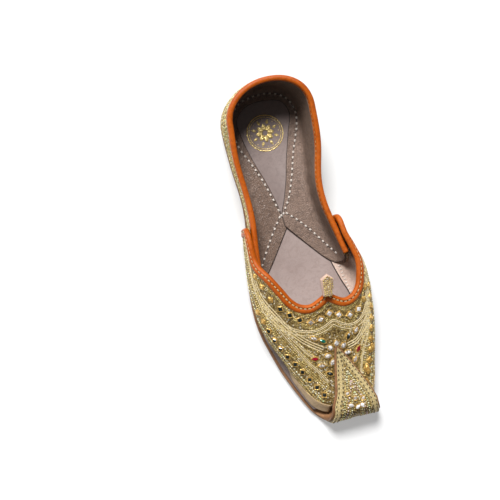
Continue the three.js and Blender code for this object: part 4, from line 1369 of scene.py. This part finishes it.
for index, (radius, thread) in enumerate(ROSETTE_RINGS):
    ring = (around_rosette(radius, ring_turns), np.tile(UP, (len(ring_turns), 1)))
    grown("rosette_ring_%d" % index, lines_source([ring]), CORD, "gold_embroidery", Radius=thread * MM,
          Material=FOIL)
petals = []
for count, radius, size, turn in ROSETTE_PETALS:
    for angle in np.arange(count) * 2 * math.pi / count + turn:
        outwards = [math.cos(angle), -math.sin(angle), 0]
        petals.append((around_rosette(radius, angle), UP, outwards, (size, size, 0.25)))
grown("rosette_petals", places_source(petals), SET, "gold_embroidery", Piece=TEARDROP, Material=FOIL)

# ---- embroidery on the vamp -------------------------------------------------------------------------

PATH_POINTS = 120


def inset_line(inset):
    """A line on the vamp's outside that keeps an inset, in millimetres, from its edge.
    inset is one number, or (shares of the edge, the insets there)."""
    columns = np.linspace(0.02, 0.98, 420)
    u, v = np.meshgrid(columns, np.linspace(0, 1, 90), indexing="ij")
    at, out = vamp_point(u, v, WALL)
    want = np.interp(columns, *inset) if isinstance(inset, tuple) else np.full(len(columns), float(inset))
    reads = list(zip(want, run_along(at), at, out))
    points = np.array([read_at(distance, run, row) for distance, run, row, _ in reads])
    outs = np.array([read_at(distance, run, row) for distance, run, _, row in reads])
    relax(points, 6)
    return points, unit(outs)


def beads(name, lines, size, spacing, finish=BEAD_GOLD):
    """Rows of beads sewn down along lines; spacing is in millimetres."""
    source = lines_source([raised(line, -0.15) for line in lines])
    grown(name, source, ROW, "gold_embroidery", Piece=BEAD, Spacing=spacing * MM, Size=size, Material=finish)


def cords(name, lines, radius, finish=ZARI_CORD):
    """Cord sewn down along lines; radius is in millimetres."""
    source = lines_source([raised(line, radius * 0.5) for line in lines])
    grown(name, source, CORD, "gold_embroidery", Radius=radius * MM, Material=finish)


# The main lines of the embroidery on each side of the vamp: (s, height) along the wing, then plan points over
# the forepart. Rows of beads and cord are laid between them and fan out towards the toe.
GUIDES = {
    -1: {
        "lowest": (
            [(106, 19), (122, 21), (142, 21)],
            [(-38.2, 163.2), (-33.8, 176.1), (-27.9, 190.8), (-19.8, 204.6), (-11.9, 218), (-3.9, 231.4)],
        ),
        "upper": (
            [(106, 27), (120, 28.5), (132, 28)],
            [(-37.2, 145), (-34.9, 161.5), (-28.8, 173.8), (-21.7, 187.3), (-13.7, 202), (-6.6, 212),
             (-1.1, 220.7)],
        ),
        "middle": (
            [(136, 30)],
            [(-35.3, 150.6), (-27.7, 167.8), (-20.3, 179.6), (-11.3, 189), (-0.4, 197)],
        ),
    },
    1: {
        "lowest": (
            [(112, 19), (128, 20), (146, 20)],
            [(43.6, 163), (41.6, 176), (38.6, 190), (34.8, 204), (30.4, 218), (25, 231)],
        ),
        "upper": (
            [(112, 27), (126, 28), (140, 27)],
            [(42, 162), (40.6, 174), (38, 186), (33.6, 197), (29.5, 204.5), (27, 212), (24.6, 221)],
        ),
        "middle": (
            [(140, 30)],
            [(40.6, 156), (40, 168), (37, 180.6), (32.2, 189.6), (26.2, 196), (18.6, 198.3)],
        ),
    },
}
THROAT_WAVE = [
    (-34.5, 157), (-26.9, 168), (-19, 177), (-10, 181.6), (-2, 182.6), (5, 181), (9.6, 178.6), (12, 178.6),
    (17, 182), (24, 184.2), (31, 181.8), (36, 175), (39.2, 165),
]
GUIDE_STEPS = 180


def guide(side, wing, fore):
    """A line on one side of the vamp, as (s, stretched way round)."""
    s_wing, height = np.array(wing, float).T
    x, s_fore = np.array(fore, float).T
    m = section(VAMP, s_fore, side)
    x_inside = m["ridge"] + (x - m["ridge"]) * m["reach"] / (m["reach"] + WALL)
    around = np.concatenate([
        around_at_height(VAMP, s_wing, height), around_at_x(VAMP, s_fore, side, x_inside)])
    path = np.stack([np.concatenate([s_wing, s_fore]), around * EDGE_STRETCH], -1)
    return smooth_path(path, GUIDE_STEPS)


def vamp_row(side, path, shift=0.0):
    """A guide, moved sideways by a shift, as a line on the vamp's outside."""
    s, turn = moved_aside(path, shift).T
    return vamp_wall(s, side, np.clip(turn / EDGE_STRETCH, 0.01, 1), WALL)


def throat_line(distance):
    """A line on the vamp beside the wave in front of the throat."""
    return dropped(vamp_surface, moved_aside(smooth_path(THROAT_WAVE, PATH_POINTS), distance))


bead_lines, fine_lines, pale_lines, crystal_lines = [], [], [], []
for side, named in GUIDES.items():
    lowest, upper, middle = (guide(side, *parts) for parts in named.values())
    # The first row follows the vamp's foot, to just short of the toe.
    foot = np.stack([np.linspace(lowest[0, 0], 236, GUIDE_STEPS + 1), np.full(GUIDE_STEPS + 1, 1.2)], -1)
    fine_lines += [vamp_row(side, mix(foot, lowest, share)) for share in (0.0, 0.18, 0.36, 0.54)]
    crystal_lines.append(vamp_row(side, mix(foot, lowest, 0.72)))
    bead_lines += [vamp_row(side, mix(lowest, upper, share)) for share in (0.24, 0.62)]
    fine_lines += [vamp_row(side, mix(lowest, upper, share)) for share in (0.43, 0.8)]
    pale_lines += [vamp_row(side, upper, shift) for shift in (-0.7, 0.7)]
    pale_lines += [vamp_row(side, middle, shift) for shift in (-1.7, 0.0, 1.7)]
    for share, lines in ((0.16, bead_lines), (0.38, fine_lines), (0.6, bead_lines), (0.84, fine_lines)):
        begin = int(28 + 90 * abs(share - 0.5))
        lines.append(vamp_row(side, mix(upper, middle, share)[begin:]))
    between = mix(upper, middle, 0.49)[60:]
    pale_lines += [vamp_row(side, between, shift) for shift in (-0.6, 0.6)]
cords("zari_sweeps", pale_lines, 0.38)
cords("zari_waves", [throat_line(distance) for distance in (0.0, 1.1, 3.4)], 0.36)
fine_lines += [inset_line(inset) for inset in (5.3, 6.5, 7.7)]
fine_lines += [throat_line(distance) for distance in (2.25, 4.7)]
rim_shares, rim_insets = np.array([0, 0.3, 0.5, 0.7, 1]), np.array([12, 15, 17, 12.5, 12])
bead_lines.append(inset_line((rim_shares, rim_insets)))
fine_lines += [inset_line((rim_shares, rim_insets + shift)) for shift in (-1.4, 1.4)]
beads("bead_rows", bead_lines, 0.76, 1.6)
beads("fine_bead_rows", fine_lines, 0.58, 1.25)
beads("crystal_rows", crystal_lines, 0.72, 2.6, CRYSTAL)
beads("crystal_rows_between", crystal_lines, 0.6, 1.3)

# The tab's rows of beads: x from its middle, and how far from its back end a row begins.
TAB_ROWS = [(-2.9, 4.2), (-1.45, 3.0), (0, 2.2), (1.45, 3.0), (2.9, 4.2)]
tab_rows = [
    dropped(tab_surface, [(tab_middle + x, s) for s in np.linspace(tab_back + start, tab_front - 0.8, 40)])
    for x, start in TAB_ROWS
]
beads("tab_beads", tab_rows, 0.74, 1.5)

# Set stones: the row round the throat, the rows above the sole and the flower at the flap's point. A stone is
# (x, s, turn in degrees), and a turn of 0 points to the inner side.
THROAT_STONES = {
    "amber": ([(-35.6, 136, 80), (-33.1, 144.3, 72), (-29.2, 154.4, 62), (36.2, 169.6, 118), (38.8, 161, 104),
               (39.6, 151.6, 96)], STONE_AMBER, 1.75),
    "dark": ([(-24, 162.2, 48), (-18.5, 168, 44), (-12.2, 173, 34)], STONE_DARK, 2.0),
    "smoky": ([(-5.1, 176.6, 14)], STONE_SMOKE, 2.1),
    "clear": ([(2.2, 176, -18), (9, 173.3, 0), (15.6, 175.8, 24), (23.4, 178, 4), (30.6, 175.4, -32)],
              STONE_CLEAR, 2.25),
}
SIDE_ROWS = {
    "outer": [(-38.4, 160), (-33.8, 176.1), (-27.9, 190.8), (-19.8, 204.6), (-11.9, 218), (-3.9, 231.4)],
    "inner": [(42.4, 160), (41, 176), (38.4, 190), (34.8, 204), (30.4, 218), (25, 231)],
}
FLOWER = [(5.4, 197.4, -120), (10.4, 195.4, -90), (15.2, 198, -50), (17.2, 203.6, 0)]
FLOWER_SMOKY = [(2.6, 202.8, -180), (5.2, 208, -232)]
NAVETTES = {
    "green": ([(1, 191.4, 40)], STONE_GREEN),
    "red": ([(-6.7, 202.6, 12), (25.4, 203, -55)], STONE_RED),
    "dark": ([(19.7, 192.6, -70), (1.7, 215.4, 28)], STONE_DARK),
    "smoky": ([(-4.9, 188.2, 35), (-2.8, 208.6, 12), (26.2, 189.4, -55), (21.6, 209.6, -60)], STONE_SMOKE),
    "amber": ([(28.7, 217.5, -70), (36.2, 204.4, -80)], STONE_AMBER),
}
SQUARES, DROPS, NAVETTE_CUTS = (SQUARE_STONE, SQUARE_CUP), (TEARDROP, TEARDROP_CUP), (NAVETTE, NAVETTE_CUP)


def stones(name, cut, places, finish, size):
    """Stones of one cut and colour with their gold cups."""
    sized = [(at, out, along, (size, size, size)) for at, out, along in places]
    for label, piece, made_of in ((name, cut[0], finish), (name + "_cups", cut[1], CUP_GOLD)):
        grown(label, places_source(sized), SET, "gold_embroidery", Piece=piece, Flat_faces=True,
              Material=made_of)


def plan_places(rows, surface):
    """Places on a surface from rows of (x, s, turn in degrees)."""
    made = []
    for x, s, turn in rows:
        at, out = dropped(surface, [(x, s)])
        a = math.radians(turn)
        made.append((at[0], out[0], np.array([math.cos(a), -math.sin(a), 0.0])))
    return made


for label, (rows, finish, size) in THROAT_STONES.items():
    stones("throat_stones_" + label, SQUARES, plan_places(rows, vamp_surface), finish, size)
side_places = {label: spread(dropped(vamp_surface, smooth_path(path, PATH_POINTS)), 7.7, 1.0)
               for label, path in SIDE_ROWS.items()}
stones("side_stones_dark", SQUARES, side_places["outer"][2:], STONE_DARK, 1.85)
stones("side_stones_amber", SQUARES, side_places["outer"][:2] + side_places["inner"], STONE_AMBER, 1.8)
stones("flower_petals", DROPS, plan_places(FLOWER, vamp_surface), STONE_PETAL, 2.4)
stones("flower_petals_smoky", DROPS, plan_places(FLOWER_SMOKY, vamp_surface), STONE_SMOKE, 2.5)
for label, (rows, finish) in NAVETTES.items():
    stones("navettes_" + label, NAVETTE_CUTS, plan_places(rows, vamp_surface), finish, 2.5)

# ---- small beads and crystals strewn between the rows --------------------------------------------------

# How far over a shell, in its v from 0 to 1, beads may lie.
LAST_V = 0.985


def strewn(name, grid, room, finish, seed, apart, most, sizes):
    """Beads strewn over a grid of points, where there is room. They are apart, in metres, and at most so many
    to a square metre."""
    rows, columns = grid.shape[:2]
    patch = bare("patch", grid, (), grid_faces(rows, columns), room=room.astype(float).ravel())
    grown(name, patch, SCATTER, "gold_embroidery", Piece=BEAD, Apart=apart, Per_square_metre=most,
          Smallest=sizes[0], Largest=sizes[1], Seed=seed, Material=finish)


vamp_run = run_along(vamp_over)
plan_x, plan_s = vamp_over[..., 0], HEEL_SEAT - vamp_over[..., 1]
field = (plan_s > 184) & (np.abs(plan_x - 9) < (plan_s - 172) * 0.62)
throat_field = (vamp_run > 7.2) & (vamp_run < 18)
everywhere = (vamp_run > 5.6) & (v_vamp < LAST_V)
seeded = (field | throat_field) & (v_vamp < LAST_V)
strewn("vamp_seed_beads", vamp_over, seeded, BEAD_GOLD, 7, 0.00135, 5e5, (0.42, 0.6))
strewn("vamp_crystals", vamp_over, everywhere, CRYSTAL, 23, 0.0031, 8e4, (0.66, 0.9))
strewn("vamp_dark_beads", vamp_over, everywhere, BEAD_DARK, 41, 0.003, 9e4, (0.6, 0.85))
strewn("vamp_rose_crystals", vamp_over, everywhere, CRYSTAL_ROSE, 31, 0.0052, 3e4, (0.62, 0.88))

# The quarter is covered with zigzags of coiled gold wire, and small beads between them.
ZIGZAG_ROWS, ZIGZAG_STEPS, ZIGZAG_HEIGHT = 11, 200, 0.03
zigzags = []
for v in np.linspace(0.1, 0.84, ZIGZAG_ROWS):
    u = np.linspace(0.01, 0.99, ZIGZAG_STEPS)
    height = np.clip(v + ZIGZAG_HEIGHT * np.where(np.arange(ZIGZAG_STEPS) % 2, 1, -1), 0, 1)
    out = quarter_out(u, height)
    zigzags.append((quarter_point(u, height) + out * WALL, out))
cords("quarter_zigzags", zigzags, 0.38, BEAD_GOLD)
quarter_room = (v_quarter > 0.06) & (v_quarter < 0.88)
strewn("quarter_seed_beads", quarter_over, quarter_room, CRYSTAL, 11, 0.0026, 1.6e5, (0.55, 0.8))

# ---- beads, crystals and stones on the flap -----------------------------------------------------------

def cover_row(side, inset):
    """A line on the flap at an inset from one edge, as far up as the flap is wide enough."""
    t = np.linspace(0.1, 0.97, 110)
    t = t[cover_half(t) > inset + LEAST_HALF]
    return cover_point(t, side * (1 - inset / cover_half(t)), COVER_TOP)


def cover_rows_at(*insets):
    return [cover_row(side, inset) for side in SIDES.values() for inset in insets]


beads("flap_bead_rows", cover_rows_at(5.5, 8.1, 10.8, 13.6), 0.62, 1.35)
beads("flap_crystal_rows", cover_rows_at(6.8, 12.2), 0.72, 1.9, CRYSTAL)
beads("flap_rose_rows", cover_rows_at(9.4), 0.7, 2.3, CRYSTAL_ROSE)
# Two rows of dark beads cross the curl at these heights, painted shade where the curl turns down away from
# the light.
rim_t = [t for t in np.linspace(0.1, 0.5, 200) if 18 < cover_at(t)["height"] < 19.4]
rim_across = np.linspace(-0.72, 0.72, 60)
flap_rim = [cover_point(np.full(len(rim_across), t), rim_across, COVER_TOP) for t in (rim_t[0], rim_t[-1])]
beads("flap_rim_beads", flap_rim, 0.85, 1.7, BEAD_DARK)
cover_surface = surface_of(cover)
FLAP_SQUARES = [(14.3, 236.3, 40), (9.6, 232, 45), (19.8, 237.5, 45)]
FLAP_DROPS = [(15.2, 242.6, -40), (10.6, 240.8, 30), (18.6, 242.4, 60)]
stones("flap_stones_dark", SQUARES, plan_places(FLAP_SQUARES, cover_surface), STONE_SMOKE, 1.7)
stones("flap_stones_clear", DROPS, plan_places(FLAP_DROPS, cover_surface), STONE_CLEAR, 2.0)

# ---- strips round the vamp's foot: an umber welt, and a bare leather rand at the front ---------------------

STRIP_THICK, STRIP_END = 0.5, 236.5
NARROWEST, SHORT_OF_EDGE = 0.4, 0.9


def foot_strip(name, side, start, grow, wide, rise, finish):
    """A strip that slopes from the vamp's wall down to the rolled edge. It starts narrow and grows over a
    length to its full width and rise."""
    s = np.linspace(start, STRIP_END, 70)
    size = ease((s - start) / grow)
    foot_at, foot_out = vamp_wall(s, side, np.full(len(s), 0.02), WALL)
    level = unit(foot_out * [1, 1, 0])
    edge_x = np.interp(s, SOLE["s"], SOLE["outer" if side < 0 else "inner"])
    room = np.abs(edge_x - foot_at[:, 0]) - SHORT_OF_EDGE
    upper_turn = around_at_height(VAMP, s, insole_bottom(s) + (NARROWEST + rise * size) + 0.6)
    upper_at, upper_out = vamp_wall(s, side, upper_turn, WALL)
    low = foot_at + level * np.clip(NARROWEST + wide * size, 0.3, np.maximum(room, 0.3))[:, None]
    low[:, 2] = insole_bottom(s) - GAP + 0.15
    path = np.stack([
        upper_at + upper_out * 0.2,
        mix(upper_at, low, 0.3) + upper_out * 0.3,
        mix(upper_at, low, 0.6) + level * 0.1,
        low,
    ], 1)
    fine = np.array([smooth_path(row, 12) for row in path])
    up = unit(np.cross(np.gradient(fine, axis=0), np.gradient(fine, axis=1)))
    up = np.where(up[..., 2:] < 0, -up, up)
    keep(sheet_object(name, fine + up * STRIP_THICK, fine, finish))


for label, side in SIDES.items():
    foot_strip("welt_" + label, side, 112, 30, 2.4, 0.9, UMBER)
    foot_strip("toe_rand_" + label, side, 196, 20, 3.4, 2.6, RAND_LEATHER)

# ---- floor, light and camera --------------------------------------------------------------------------

bpy.ops.mesh.primitive_plane_add(size=40, location=(0, 0, -0.0004))
floor = bpy.context.object
floor.name = "floor"
floor_finish = bpy.data.materials.new("pale floor")
floor_finish.use_nodes = True
floor_bsdf = floor_finish.node_tree.nodes["Principled BSDF"]
floor_bsdf.inputs["Base Color"].default_value = colour(0.52, 0.52, 0.52)
floor_bsdf.inputs["Roughness"].default_value = 0.8
floor_bsdf.inputs["Emission Color"].default_value = colour(1, 1, 1)
floor_bsdf.inputs["Emission Strength"].default_value = 0.31
floor.data.materials.append(floor_finish)

# The sky is white to look at, and gives only a little light.
world = bpy.data.worlds.new("studio")
world.use_nodes = True
sky = Graph(world.node_tree)
seen = sky.node("ShaderNodeLightPath").outputs["Is Camera Ray"]
background = world.node_tree.nodes["Background"]
background.inputs["Color"].default_value = colour(1, 1, 1)
sky.feed(background.inputs["Strength"], sky.math("ADD", sky.math("MULTIPLY", seen, 0.9), 0.1))
bpy.context.scene.world = world


LIT_POINT = Vector((0, -0.1, 0))


def light(name, kind, energy, at):
    """A light aimed at the shoe."""
    lamp = in_scene(name, bpy.data.lights.new(name, kind))
    lamp.location = at
    lamp.rotation_euler = (LIT_POINT - Vector(at)).to_track_quat("-Z", "Y").to_euler()
    lamp.data.energy = energy
    return lamp.data


light("key_light", "SUN", 5.3, (-0.15, 0.9, 1.35)).angle = math.radians(24)
light("fill_light", "AREA", 2.4, (-1.2, -0.2, 0.7)).size = 0.8

CAMERA_AT = Vector((-0.234, -0.126, 1.361))
CAMERA_TARGET = Vector((-0.030, -0.086, 0.0))
CAMERA_UP = Vector((0.232, 0.970, 0.064))
camera = in_scene("camera", bpy.data.cameras.new("camera"))
camera.data.lens, camera.data.sensor_width = 137.7, 36.0
back = (CAMERA_AT - CAMERA_TARGET).normalized()
right = CAMERA_UP.cross(back).normalized()
turn = Matrix((right, back.cross(right), back)).transposed()
camera.matrix_world = Matrix.LocRotScale(CAMERA_AT, turn, None)
bpy.context.scene.camera = camera
bpy.context.scene.view_settings.view_transform = "Standard"

for piece in SMALL_PIECES:
    bpy.data.objects.remove(piece)
